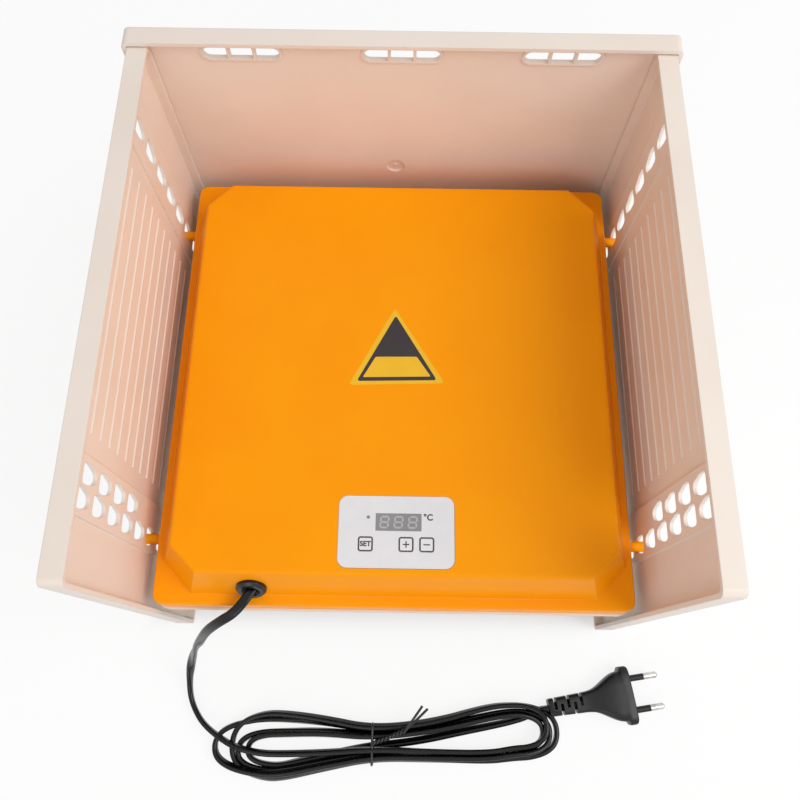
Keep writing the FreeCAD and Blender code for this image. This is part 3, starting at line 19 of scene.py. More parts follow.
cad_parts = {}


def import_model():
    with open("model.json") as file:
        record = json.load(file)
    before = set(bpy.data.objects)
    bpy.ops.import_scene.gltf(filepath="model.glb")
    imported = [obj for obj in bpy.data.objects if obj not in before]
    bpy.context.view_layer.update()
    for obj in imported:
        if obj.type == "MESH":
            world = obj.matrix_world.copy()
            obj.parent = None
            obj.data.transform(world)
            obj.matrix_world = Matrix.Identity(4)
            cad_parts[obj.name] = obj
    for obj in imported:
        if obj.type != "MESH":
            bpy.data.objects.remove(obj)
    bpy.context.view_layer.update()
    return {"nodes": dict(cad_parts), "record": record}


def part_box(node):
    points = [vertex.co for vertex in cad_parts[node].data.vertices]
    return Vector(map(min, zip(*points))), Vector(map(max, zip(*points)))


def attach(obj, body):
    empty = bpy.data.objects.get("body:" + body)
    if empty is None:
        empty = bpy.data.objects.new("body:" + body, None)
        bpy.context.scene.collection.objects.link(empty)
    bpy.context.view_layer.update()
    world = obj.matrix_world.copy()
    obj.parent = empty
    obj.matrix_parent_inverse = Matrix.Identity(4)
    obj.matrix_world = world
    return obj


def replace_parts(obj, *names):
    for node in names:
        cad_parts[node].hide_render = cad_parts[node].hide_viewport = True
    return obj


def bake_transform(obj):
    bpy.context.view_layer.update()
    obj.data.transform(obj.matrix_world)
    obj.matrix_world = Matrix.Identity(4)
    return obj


LOG = logging.getLogger("brooder_heater")

MM = 0.001
WELD = 1e-6
SPLINE_ORDER = 3

Colour = tuple[float, float, float]
Point = tuple[float, float, float]
Spot = tuple[float, float]
Term = Union["Signal", float, int]

WHITE: Colour = (1.0, 1.0, 1.0)


def metres(point: Sequence[float]) -> Vector:
    """Turns a point in millimetres into a vector in metres."""
    return Vector(point) * MM


def srgb(red: int, green: int, blue: int) -> Colour:
    """Turns a colour written as on a screen, 0 to 255, into the linear values that shaders use."""

    def linear(channel: int) -> float:
        """Turns one channel."""
        part = channel / 255.0
        return part / 12.92 if part <= 0.04045 else ((part + 0.055) / 1.055) ** 2.4

    return (linear(red), linear(green), linear(blue))


def mix(pair: Spot, share: float) -> float:
    """The number that lies a share of the way from the first of a pair to the second."""
    return pair[0] + (pair[1] - pair[0]) * share


def squared(value: float, power: float) -> float:
    """A sine or cosine raised to a power with its sign kept, which turns an ellipse into a squarer loop."""
    return math.copysign(abs(value) ** power, value)


# Shader expressions

# The part of a noise's range over which a finish changes
MIDDLE: Spot = (0.3, 0.7)
UPPER: Spot = (0.35, 0.7)
WIDE: Spot = (0.3, 0.75)
HIGH: Spot = (0.4, 0.75)

NOISE_ROUGHNESS = 0.55
BEVEL_SAMPLES = 6
# Cosine between a face and its rounded normal: along an edge, and clear of it
EDGE_COSINES: Spot = (0.86, 0.995)


class Signal:
    """One value in a node tree. Arithmetic on it adds the Math nodes that work it out."""

    def __init__(self, graph: "Graph", socket: bpy.types.NodeSocket) -> None:
        """Wraps a socket.

        Args:
            graph: the tree that the socket belongs to.
            socket: an output socket that carries a number.
        """
        self.graph = graph
        self.socket = socket

    def math(self, operation: str, *terms: Term) -> "Signal":
        """Adds one Math node.

        Args:
            operation: the node's operation.
            terms: its inputs, in order.

        Returns:
            The node's value.
        """
        inputs = dict(enumerate(terms))
        made = self.graph.node("ShaderNodeMath", {"operation": operation}, inputs)
        return Signal(self.graph, made.outputs[0])

    def __add__(self, other: Term) -> "Signal":
        """Adds."""
        return self.math("ADD", self, other)

    def __mul__(self, other: Term) -> "Signal":
        """Multiplies."""
        return self.math("MULTIPLY", self, other)

    def span(self, low: float, high: float, start: float = 0.0, stop: float = 1.0) -> "Signal":
        """Carries a range of values over to another, smoothly and held at its ends.

        Args:
            low: the value that becomes `start`.
            high: the value that becomes `stop`.
            start: the first result.
            stop: the last result.

        Returns:
            The result.
        """
        made = self.graph.node(
            "ShaderNodeMapRange",
            {"interpolation_type": "SMOOTHSTEP"},
            {0: self, 1: low, 2: high, 3: start, 4: stop},
        )
        return Signal(self.graph, made.outputs[0])


class Graph:
    """The node tree of a material or of the world."""

    def __init__(self, name: str, library: Any = None) -> None:
        """Makes an empty tree.

        Args:
            name: the name of the material or world.
            library: where it is made: the materials, unless given.
        """
        self.owner = (bpy.data.materials if library is None else library).new(name)
        self.owner.use_nodes = True
        self.tree = self.owner.node_tree
        self.tree.nodes.clear()

    def node(
        self, kind: str, settings: dict[str, Any] | None = None, inputs: dict[Any, Any] | None = None
    ) -> bpy.types.ShaderNode:
        """Adds a node, sets it up, and then fills its sockets.

        Args:
            kind: the node's type.
            settings: its own settings.
            inputs: values or links of its sockets, by name or number.

        Returns:
            The node.
        """
        made = self.tree.nodes.new(kind)
        for name, value in (settings or {}).items():
            setattr(made, name, value)
        for name, value in (inputs or {}).items():
            socket = made.inputs[name]
            if isinstance(value, Signal):
                self.tree.links.new(value.socket, socket)
            elif isinstance(value, bpy.types.NodeSocket):
                self.tree.links.new(value, socket)
            elif isinstance(value, tuple) and socket.type == "RGBA":
                socket.default_value = (*value[:3], 1.0)
            else:
                socket.default_value = value
        return made

    def place(self, scale: Point = (1.0, 1.0, 1.0)) -> bpy.types.NodeSocket:
        """Object coordinates, stretched along each axis by a scale."""
        start = self.node("ShaderNodeTexCoord").outputs["Object"]
        if scale == (1.0, 1.0, 1.0):
            return start
        made = self.node("ShaderNodeMapping", {"vector_type": "POINT"}, {"Vector": start, "Scale": scale})
        return made.outputs[0]

    def axis(self, index: int) -> Signal:
        """One of the object coordinates, in metres."""
        made = self.node("ShaderNodeSeparateXYZ", {}, {0: self.place()})
        return Signal(self, made.outputs[index])

    def noise(self, size: float, detail: float = 2.0, scale: Point = (1.0, 1.0, 1.0)) -> Signal:
        """Soft random variation.

        Args:
            size: about how wide one patch is, in millimetres.
            detail: how many finer layers it has.
            scale: stretch along each axis.

        Returns:
            A value around 0.5.
        """
        inputs = {
            "Vector": self.place(scale),
            "Scale": 1.0 / (size * MM),
            "Detail": detail,
            "Roughness": NOISE_ROUGHNESS,
        }
        return Signal(self, self.node("ShaderNodeTexNoise", {}, inputs).outputs[0])

    def seen_directly(self) -> Signal:
        """Above 0 for what the camera sees straight, in gloss or through glass, 0 for light on matt faces."""
        path = self.node("ShaderNodeLightPath")
        camera, glossy, through = (
            Signal(self, path.outputs[f"Is {kind} Ray"]) for kind in ("Camera", "Glossy", "Transmission")
        )
        return camera + glossy + through

    def blend(self, factor: Term, first: Any, second: Any) -> bpy.types.NodeSocket:
        """Mixes two colours.

        Args:
            factor: 0 for the first colour, 1 for the second.
            first: a colour or its socket.
            second: a colour or its socket.

        Returns:
            The mixed colour.
        """
        made = self.node("ShaderNodeMix", {"data_type": "RGBA"}, {0: factor, 6: first, 7: second})
        return made.outputs[2]

    def bump(
        self, height: Term, depth: float, under: bpy.types.NodeSocket | None = None
    ) -> bpy.types.NodeSocket:
        """Turns a height of 0 to 1 into a normal.

        Args:
            height: the height.
            depth: how deep a height of 1 is, in millimetres.
            under: the normal that it lies on, where it isn't the surface's own.

        Returns:
            The normal.
        """
        inputs = {"Height": height, "Distance": depth * MM}
        if under is not None:
            inputs["Normal"] = under
        return self.node("ShaderNodeBump", {}, inputs).outputs[0]

    def soft_edges(self, radius: float) -> tuple[Signal, bpy.types.NodeSocket]:
        """Rounds the sharp edges of a surface to the eye.

        Args:
            radius: the radius of the edges, in millimetres.

        Returns:
            A mask that is 1 along the edges, and the rounded normal.
        """
        rounded = self.node("ShaderNodeBevel", {"samples": BEVEL_SAMPLES}, {"Radius": radius * MM}).outputs[0]
        flat = self.node("ShaderNodeNewGeometry").outputs["Normal"]
        turned = self.node("ShaderNodeVectorMath", {"operation": "DOT_PRODUCT"}, {0: rounded, 1: flat})
        return Signal(self, turned.outputs["Value"]).span(*EDGE_COSINES, 1.0, 0.0), rounded

    def surface(self, **inputs: Any) -> bpy.types.Material:
        """Ends the tree in one Principled shader.

        Args:
            inputs: its sockets, with `_` for each space in a name.

        Returns:
            The material.
        """
        named = {name.replace("_", " "): value for name, value in inputs.items()}
        shader = self.node("ShaderNodeBsdfPrincipled", {}, named)
        self.node("ShaderNodeOutputMaterial", {}, {"Surface": shader.outputs[0]})
        return self.owner


# Finishes


@dataclass(frozen=True)
class Moulded:
    """Moulded plastic or rubber: a painted highlight that pales the edges, a colour that wanders a little,
    fine grain and flow marks.

    Attributes:
        name: the material's name.
        body: its colour.
        worn: the colour that it wanders towards.
        gloss: its roughness.
        grain: the width of one grain, in millimetres.
        depth: how deep the grain is, in millimetres.
        coat: how much clear gloss lies over it.
        shine: how strongly it mirrors, 0.5 for plain plastic.
        edge: the radius of its edges, in millimetres.
        edge_sheen: how much paler the edges are.
        patch: the width of a patch of the other colour, in millimetres.
        wander: how much of the other colour a patch shows.
        flow: the width of a flow mark, in millimetres.
        smear: how much the flow marks take from the roughness and add to it.
        coat_gloss: the clear gloss's roughness.
    """

    name: str
    body: Colour
    worn: Colour
    gloss: float = 0.4
    grain: float = 0.7
    depth: float = 0.02
    coat: float = 0.0
    shine: float = 0.5
    edge: float = 0.35
    # edge_sheen: how much paler the edges are painted, a painted highlight along them.
    edge_sheen: float = 0.12
    patch: float = 60.0
    wander: float = 0.7
    flow: float = 9.0
    smear: Spot = (0.04, 0.05)
    coat_gloss: float = 0.25

    def make(self) -> bpy.types.Material:
        """Builds the material."""
        graph = Graph(self.name)
        edges, rounded = graph.soft_edges(self.edge)
        patches = graph.noise(self.patch, 3.0).span(*UPPER)
        fine = graph.noise(self.grain, 2.0)
        flow = graph.noise(self.flow, 2.0, (1.0, 0.35, 1.0))
        base = graph.blend(patches * self.wander, self.body, self.worn)
        return graph.surface(
            # Painted highlight: the base colour is paled towards white along the edges by the bevel mask.
            Base_Color=graph.blend(edges * self.edge_sheen, base, WHITE),
            Roughness=flow.span(*MIDDLE, self.gloss - self.smear[0], self.gloss + self.smear[1]),
            Specular_IOR_Level=self.shine,
            Normal=graph.bump(fine, self.depth, rounded),
            Coat_Weight=self.coat,
            Coat_Roughness=self.coat_gloss,
        )


@dataclass(frozen=True)
class Metal:
    """Drawn or pressed metal with fine lines along one axis.

    Attributes:
        name: the material's name.
        bright: its colour where it is clean.
        dull: its colour where it is dull.
        gloss: its roughness.
        lines: stretch of the lines along each axis.
        edge: the radius of its edges, in millimetres.
        line: the width of a line, in millimetres.
        patch: the width of a dull patch, in millimetres.
        smear: how much the lines take from the roughness and add to it.
        depth: how deep the lines are, in millimetres.
    """

    name: str
    bright: Colour
    dull: Colour
    gloss: float = 0.25
    lines: Point = (0.08, 1.0, 1.0)
    edge: float = 0.2
    line: float = 0.6
    patch: float = 7.0
    smear: Spot = (0.06, 0.1)
    depth: float = 0.01

    def make(self) -> bpy.types.Material:
        """Builds the material."""
        graph = Graph(self.name)
        _, rounded = graph.soft_edges(self.edge)
        streak = graph.noise(self.line, 3.0, self.lines)
        patches = graph.noise(self.patch, 2.0).span(*UPPER)
        return graph.surface(
            Base_Color=graph.blend(patches, self.bright, self.dull),
            Metallic=1.0,
            Roughness=streak.span(*MIDDLE, self.gloss - self.smear[0], self.gloss + self.smear[1]),
            Normal=graph.bump(streak, self.depth, rounded),
        )


@dataclass(frozen=True)
class Fleece:
    """The insulation: pale needled fibre with tufts and stray darker threads.

    Attributes:
        name: the material's name.
        pale: its colour.
        shade: the colour between the tufts.
        tuft: the width of a tuft, in millimetres.
        thread: the width of a thread, in millimetres.
        depth: how high the tufts stand, in millimetres.
    """

    name: str = "fleece"
    pale: Colour = srgb(226, 222, 210)
    shade: Colour = srgb(190, 184, 168)
    tuft: float = 3.0
    thread: float = 0.5
    depth: float = 0.6

    def make(self) -> bpy.types.Material:
        """Builds the material."""
        graph = Graph(self.name)
        tufts = graph.noise(self.tuft, 4.0)
        threads = graph.noise(self.thread, 3.0, (0.2, 1.0, 1.0))
        return graph.surface(
            Base_Color=graph.blend(tufts.span(*WIDE), self.pale, self.shade),
            Roughness=0.95,
            Normal=graph.bump(tufts * 0.7 + threads * 0.3, self.depth),
        )


@dataclass(frozen=True)
class Laminate:
    """The bare board: green solder mask over copper tracks.

    Attributes:
        name: the material's name.
        mask: its colour.
        track: its colour over a track.
        density: cells between the tracks, for each metre.
        line: where a track starts to fall off and ends, as a distance from a cell's edge.
        gloss: its roughness.
        depth: how high a track stands, in millimetres.
    """

    name: str = "board"
    mask: Colour = srgb(20, 96, 58)
    track: Colour = srgb(40, 130, 80)
    density: float = 260.0
    line: Spot = (0.05, 0.12)
    gloss: float = 0.32
    depth: float = 0.03

    def make(self) -> bpy.types.Material:
        """Builds the material."""
        graph = Graph(self.name)
        cells = graph.node(
            "ShaderNodeTexVoronoi",
            {"distance": "MANHATTAN", "feature": "DISTANCE_TO_EDGE"},
            {"Vector": graph.place(), "Scale": self.density},
        )
        tracks = Signal(graph, cells.outputs[0]).span(*self.line, 1.0, 0.0)
        return graph.surface(
            Base_Color=graph.blend(tracks, self.mask, self.track),
            Roughness=self.gloss,
            Normal=graph.bump(tracks, self.depth),
        )


@dataclass(frozen=True)
class FoilPrint:
    """The heating foil: an amber film over a dark track that runs to and fro.

    Attributes:
        name: the material's name.
        film: its colour.
        track: its colour over the track.
        pitch: distance from one run of the track to the next, in millimetres.
        fade: how far the track's edge is spread, as the lowest and highest of a wave.
        patch: the width of a worn patch, in millimetres.
        gloss: its roughness, where it is new and where it is worn.
        depth: how high the track stands, in millimetres.
    """

    name: str = "foil"
    film: Colour = srgb(196, 120, 40)
    track: Colour = srgb(96, 60, 34)
    pitch: float = 7.0
    fade: Spot = (-0.1, 0.1)
    patch: float = 20.0
    gloss: Spot = (0.22, 0.34)
    depth: float = 0.02

    def make(self) -> bpy.types.Material:
        """Builds the material."""
        graph = Graph(self.name)
        along = graph.axis(1) * (2.0 * math.pi / (self.pitch * MM))
        tracks = along.math("SINE", along).span(*self.fade)
        return graph.surface(
            Base_Color=graph.blend(tracks, self.film, self.track),
            Roughness=graph.noise(self.patch, 3.0).span(*MIDDLE, *self.gloss),
            Normal=graph.bump(tracks, self.depth),
        )


@dataclass(frozen=True)
class Sheath:
    """The lead's glossy sheath: nearly black, with faint drawn lines and handling marks.

    Attributes:
        name: the material's name.
        body: its colour.
        dusty: its colour under dust.
        dusting: how much of the dust shows.
        patch: the width of a dusty patch, in millimetres.
        mark: the width of a mark, in millimetres.
        gloss: its roughness, off and on a mark.
        shine: how strongly it mirrors, 0.5 for plain plastic.
        depth: how deep a mark is, in millimetres.
    """

    name: str = "sheath"
    body: Colour = srgb(10, 10, 11)
    dusty: Colour = srgb(22, 21, 22)
    dusting: float = 0.5
    patch: float = 14.0
    mark: float = 1.2
    gloss: Spot = (0.2, 0.3)
    shine: float = 0.3
    depth: float = 0.012

    def make(self) -> bpy.types.Material:
        """Builds the material."""
        graph = Graph(self.name)
        dust = graph.noise(self.patch, 3.0).span(*HIGH)
        marks = graph.noise(self.mark, 3.0)
        return graph.surface(
            Base_Color=graph.blend(dust * self.dusting, self.body, self.dusty),
            Roughness=marks.span(*WIDE, *self.gloss),
            Specular_IOR_Level=self.shine,
            Normal=graph.bump(marks, self.depth),
        )


@dataclass(frozen=True)
class Sticker:
    """A printed film: even ink with a faint weave of the press and slightly uneven gloss.

    Attributes:
        name: the material's name.
        ink: its colour.
        faded: its colour where it has faded.
        gloss: its roughness.
        fading: how much of the fading shows.
        patch: the width of a faded patch, in millimetres.
        dulling: how much roughness fading adds.
        weave: the width of a thread of the weave, in millimetres.
        depth: how deep the weave is, in millimetres.
    """

    name: str
    ink: Colour
    faded: Colour
    gloss: float = 0.35
    fading: float = 0.6
    patch: float = 12.0
    dulling: float = 0.06
    weave: float = 0.35
    depth: float = 0.006

    def make(self) -> bpy.types.Material:
        """Builds the material."""
        graph = Graph(self.name)
        fade = graph.noise(self.patch, 2.0).span(*MIDDLE)
        return graph.surface(
            Base_Color=graph.blend(fade * self.fading, self.ink, self.faded),
            Roughness=fade.span(0.0, 1.0, self.gloss, self.gloss + self.dulling),
            Normal=graph.bump(graph.noise(self.weave, 1.0), self.depth),
        )


BEIGE = Moulded(
    "stand_plastic", srgb(241, 228, 217), srgb(236, 221, 209),
    gloss=0.44, grain=0.9, depth=0.02, shine=0.35, edge=0.6, edge_sheen=0.3,
)
ORANGE = Moulded(
    "cover_plastic", srgb(255, 160, 4), srgb(253, 154, 2),
    gloss=0.32, grain=0.8, depth=0.014, shine=0.12, edge=0.7, edge_sheen=0.1,
)
PALE = Moulded(
    "tray_plastic", srgb(238, 226, 214), srgb(230, 216, 202),
    gloss=0.5, grain=0.9, depth=0.02, shine=0.35, edge=0.5, edge_sheen=0.3,
)
RUBBER = Moulded(
    "black_rubber", srgb(14, 14, 15), srgb(22, 22, 23),
    gloss=0.26, grain=0.6, depth=0.012, coat=0.2, shine=0.35, edge=0.4, edge_sheen=0.02,
)
PLUG = Moulded(
    "plug_plastic", srgb(12, 12, 13), srgb(19, 19, 20),
    gloss=0.36, grain=0.5, depth=0.025, shine=0.35, edge=0.7, edge_sheen=0.02,
)
TIE_SKIN = Moulded(
    "tie_skin", srgb(18, 18, 18), srgb(36, 36, 36),
    gloss=0.3, grain=0.6, depth=0.03, coat=0.2, shine=0.4, edge=0.2, edge_sheen=0.02,
)
SHEATH = Sheath()
LABEL_FILM = Sticker("label_film", srgb(228, 228, 230), srgb(222, 222, 225))
KEY_FILM = Sticker("key_film", srgb(230, 230, 232), srgb(224, 224, 227))
WINDOW_FILM = Sticker("window_film", srgb(140, 140, 142), srgb(132, 132, 135), 0.2)
DIGIT_FILM = Sticker("digit_film", srgb(178, 179, 182), srgb(170, 171, 174), 0.25)
INK = Sticker("charcoal_ink", srgb(52, 46, 50), srgb(62, 56, 60), 0.4)
BLACK_INK = Sticker("black_ink", srgb(38, 28, 32), srgb(46, 36, 40), 0.35)
YELLOW_INK = Sticker("yellow_ink", srgb(240, 188, 24), srgb(236, 182, 20), 0.35)
LAMP_LENS = Moulded("lamp_lens", srgb(136, 138, 140), srgb(120, 122, 124), 0.2, 0.5, 0.01, 0.3)
ALUMINIUM = Metal("aluminium", srgb(205, 206, 208), srgb(176, 178, 181), 0.3)
STEEL = Metal("steel", srgb(196, 196, 194), srgb(150, 150, 150), 0.24)
NICKEL = Metal("nickel", srgb(214, 212, 206), srgb(176, 174, 170), 0.16, (0.1, 1.0, 1.0))
PART_BODY = Moulded("component_body", srgb(44, 44, 46), srgb(58, 58, 60), 0.45, 0.4, 0.02)
RELAY_BODY = Moulded("relay_body", srgb(30, 82, 160), srgb(24, 70, 144), 0.4, 0.5, 0.02)
CAPACITOR_BODY = Moulded("capacitor_body", srgb(206, 170, 44), srgb(190, 154, 36), 0.35, 0.5, 0.02)
TERMINAL_BODY = Moulded("terminal_body", srgb(40, 128, 72), srgb(34, 112, 64), 0.42, 0.5, 0.02)
WIRE_SKIN = Moulded("wire_skin", srgb(170, 36, 30), srgb(150, 30, 26), 0.38, 0.5, 0.015)

SLOT_FINISH: dict[str, Any] = {
    "stand": BEIGE,
    "cover": ORANGE,
    "tray": PALE,
    "peg": ORANGE,
    "black_rubber": RUBBER,
    "lead_jacket": SHEATH,
    "plug_black": PLUG,
    "pin_metal": NICKEL,
    "tie": TIE_SKIN,
    "label": LABEL_FILM,
    "window": WINDOW_FILM,
    "key": KEY_FILM,
    "lamp": LAMP_LENS,
    "spreader": ALUMINIUM,
    "foil": FoilPrint(),
    "insulation": Fleece(),
    "board": Laminate(),
    "component": PART_BODY,
    "relay": RELAY_BODY,
    "capacitor": CAPACITOR_BODY,
    "terminal": TERMINAL_BODY,
    "wire": WIRE_SKIN,
    "screw": STEEL,
}


class Paintbox:
    """Makes each material once and hands it out."""

    def __init__(self) -> None:
        """Starts empty."""
        self.made: dict[str, bpy.types.Material] = {}

    def of(self, finish: Any) -> bpy.types.Material:
        """The material of a finish."""
        if finish.name not in self.made:
            self.made[finish.name] = finish.make()
        return self.made[finish.name]

    def paint(self, piece: bpy.types.Object, finish: Any) -> None:
        """Puts a finish on the whole of a piece."""
        piece.data.materials.clear()
        piece.data.materials.append(self.of(finish))

    def dress(self, piece: bpy.types.Object, finish: Any, body: str) -> None:
        """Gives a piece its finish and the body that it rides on."""
        self.paint(piece, finish)
        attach(piece, body)
        LOG.info("%s: %d faces", piece.name, len(piece.data.polygons))


# Modelling helpers


def clear_selection() -> None:
    """Leaves nothing selected."""
    if bpy.context.mode != "OBJECT":
        bpy.ops.object.mode_set(mode="OBJECT")
    bpy.ops.object.select_all(action="DESELECT")


def select_only(piece: bpy.types.Object) -> None:
    """Selects one piece and makes it the active one."""
    clear_selection()
    piece.select_set(True)
    bpy.context.view_layer.objects.active = piece


def name_piece(name: str) -> bpy.types.Object:
    """Names the active object and its mesh."""
    piece = bpy.context.active_object
    piece.name = piece.data.name = name
    return piece


def settle(piece: bpy.types.Object) -> bpy.types.Object:
    """Puts a piece's place into its mesh, so that its object sits at the origin."""
    select_only(piece)
    bpy.ops.object.transform_apply(location=True, rotation=True, scale=True)
    return piece


def joined(pieces: Sequence[bpy.types.Object], name: str) -> bpy.types.Object:
    """Joins pieces into one, which is left selected."""
    clear_selection()
    for piece in pieces:
        piece.select_set(True)
    bpy.context.view_layer.objects.active = pieces[0]
    bpy.ops.object.join()
    return name_piece(name)


def tidy_shell() -> None:
    """Merges doubles of the piece in edit mode, points its faces outwards and leaves edit mode."""
    bpy.ops.mesh.select_all(action="SELECT")
    bpy.ops.mesh.remove_doubles(threshold=WELD)
    bpy.ops.mesh.normals_make_consistent(inside=False)
    bpy.ops.object.mode_set(mode="OBJECT")


def edit_all() -> None:
    """Enters edit mode on the active piece with all of it selected."""
    bpy.ops.object.mode_set(mode="EDIT")
    bpy.ops.mesh.select_all(action="SELECT")


def thicken(rise: float) -> None:
    """Extrudes what is selected in edit mode upwards, by a rise in millimetres."""
    bpy.ops.mesh.extrude_region_move(TRANSFORM_OT_translate={"value": (0.0, 0.0, rise * MM)})


def route(name: str, points: Sequence[Sequence[float]], steps: int, closed: bool = False) -> bpy.types.Object:
    """A smooth curve in space that has no thickness yet.

    Args:
        name: its name.
        points: its control points, in millimetres.
        steps: how many points it has for each control point.
        closed: whether it runs back to its start.

    Returns:
        The curve's object.
    """
    curve = bpy.data.curves.new(name, "CURVE")
    curve.dimensions = "3D"
    curve.resolution_u = steps
    spline = curve.splines.new("NURBS")
    spline.points.add(len(points) - 1)
    for control, point in zip(spline.points, points):
        control.co = (*metres(point), 1.0)
    spline.order_u = SPLINE_ORDER
    spline.use_cyclic_u = closed
    spline.use_endpoint_u = not closed
    holder = bpy.data.objects.new(name, curve)
    bpy.context.scene.collection.objects.link(holder)
    return holder


# Camera and studio


@dataclass
class PhotoCamera:
    """The camera, where the photograph was taken from.

    Attributes:
        place: its place, in millimetres.
        turn: its turn about Z, Y and X, in radians.
        lens: focal length, in millimetres.
        sensor: the sensor's width, in millimetres.
        clip: the nearest and farthest that it sees, in metres.
    """

    place: Point = (2.565, -175.03, 537.35)
    turn: Point = (0.0153447, -0.0034011, 0.3444167)
    lens: float = 35.058
    sensor: float = 36.0
    clip: Spot = (0.01, 50.0)

    def build(self) -> None:
        """Makes the camera and looks through it."""
        data = bpy.data.cameras.new("photo_camera")
        data.sensor_width, data.lens = self.sensor, self.lens
        data.clip_start, data.clip_end = self.clip
        camera = bpy.data.objects.new("photo_camera", data)
        bpy.context.scene.collection.objects.link(camera)
        turned = Matrix.Identity(4)
        for angle, axis in zip(self.turn, "ZYX"):
            turned = turned @ Matrix.Rotation(angle, 4, axis)
        camera.matrix_world = Matrix.Translation(metres(self.place)) @ turned
        bpy.context.scene.camera = camera


@dataclass
class Lamp:
    """One soft lamp.

    Attributes:
        name: its name.
        place: where it hangs, in metres.
        aim: the point that it faces, in metres.
        size: its width, in metres.
        power: its power, in watts.
    """

    name: str
    place: Point
    aim: Point
    size: float
    power: float

    def build(self) -> None:
        """Makes the lamp."""
        data = bpy.data.lights.new(self.name, "AREA")
        data.shape, data.size, data.energy = "DISK", self.size, self.power
        lamp = bpy.data.objects.new(self.name, data)
        bpy.context.scene.collection.objects.link(lamp)
        lamp.location = self.place
        lamp.rotation_euler = (Vector(self.aim) - Vector(self.place)).to_track_quat("-Z", "Y").to_euler()


@dataclass
class Studio:
    """A white room: floor, even light and two soft lamps.

    Attributes:
        ambient: strength of the even light on the object.
        glow: how much of the floor's white shows whatever falls on it.
        shade_x: where the glow starts and is full, to either side of the object, in metres.
        shade_y: the same, to the front and back.
        reach: the floor's width, in metres.
        paper: the floor's two whites.
        cloud: the width of a patch of the second white, in millimetres.
        lamps: the lamps.
    """

    ambient: float = 0.54
    glow: float = 0.85
    shade_x: Spot = (0.13, 0.17)
    shade_y: Spot = (0.12, 0.15)
    reach: float = 8.0
    paper: tuple[Colour, Colour] = (srgb(246, 246, 246), srgb(250, 250, 250))
    cloud: float = 400.0
    lamps: tuple[Lamp, ...] = (
        Lamp("key_lamp", place=(0.95, -0.35, 1.3), aim=(0.0, 0.0, 0.1), size=1.1, power=12.0),
        Lamp("front_lamp", place=(-0.35, -1.2, 0.95), aim=(0.0, -0.05, 0.1), size=0.8, power=2.8),
    )

    def build(self, paintbox: Paintbox) -> None:
        """Makes floor, world and lamps."""
        bpy.context.scene.view_settings.view_transform = "Standard"
        clear_selection()
        bpy.ops.mesh.primitive_plane_add(size=self.reach, location=(0.0, 0.0, 0.0))
        floor = settle(name_piece("floor"))
        floor.data.materials.append(self.floor_material())
        self.world()
        for lamp in self.lamps:
            lamp.build()

    def floor_material(self) -> bpy.types.Material:
        """A white floor that keeps a faint shadow."""
        graph = Graph("studio_floor")
        beside, beyond = (
            graph.axis(index).math("ABSOLUTE", graph.axis(index)).span(*shade)
            for index, shade in enumerate((self.shade_x, self.shade_y))
        )
        open_floor = beside.math("MAXIMUM", beside, beyond)
        share = graph.seen_directly().span(0.0, 1.0, 0.0, self.glow) * open_floor
        patches = graph.noise(self.cloud, 2.0).span(*MIDDLE)
        matt = graph.node("ShaderNodeBsdfDiffuse", {}, {"Color": graph.blend(patches, *self.paper)})
        light = graph.node("ShaderNodeEmission", {}, {"Color": WHITE, "Strength": 1.0})
        mixed = graph.node("ShaderNodeMixShader", {}, {0: share, 1: matt.outputs[0], 2: light.outputs[0]})
        graph.node("ShaderNodeOutputMaterial", {}, {"Surface": mixed.outputs[0]})
        return graph.owner

    def world(self) -> None:
        """Even light that looks white to the camera, to gloss and through glass."""
        graph = Graph("studio", bpy.data.worlds)
        strength = graph.seen_directly().span(0.0, 1.0, self.ambient, 1.0)
        light = graph.node("ShaderNodeBackground", {}, {"Color": WHITE, "Strength": strength})
        graph.node("ShaderNodeOutputWorld", {}, {"Surface": light.outputs[0]})
        bpy.context.scene.world = graph.owner


# Lead


class Pass(NamedTuple):
    """A strand along one side of the hank, in the direction in which the cord runs.

    Attributes:
        lanes: where it starts and ends between the outside, 0, and the inside, 1.
        heights: how high it starts and ends, in millimetres.
    """

    lanes: Spot
    heights: Spot


class Loop(NamedTuple):
    """A strand round one end of the hank.

    Attributes:
        reach: the farthest X of its control points.
        height: how high it is there, in millimetres.
    """

    reach: float
    height: float


class Turn(NamedTuple):
    """One turn of the hank, from its near left side round to its far left side and back."""

    near: Pass
    right: Loop
    far: Pass
    left: Loop


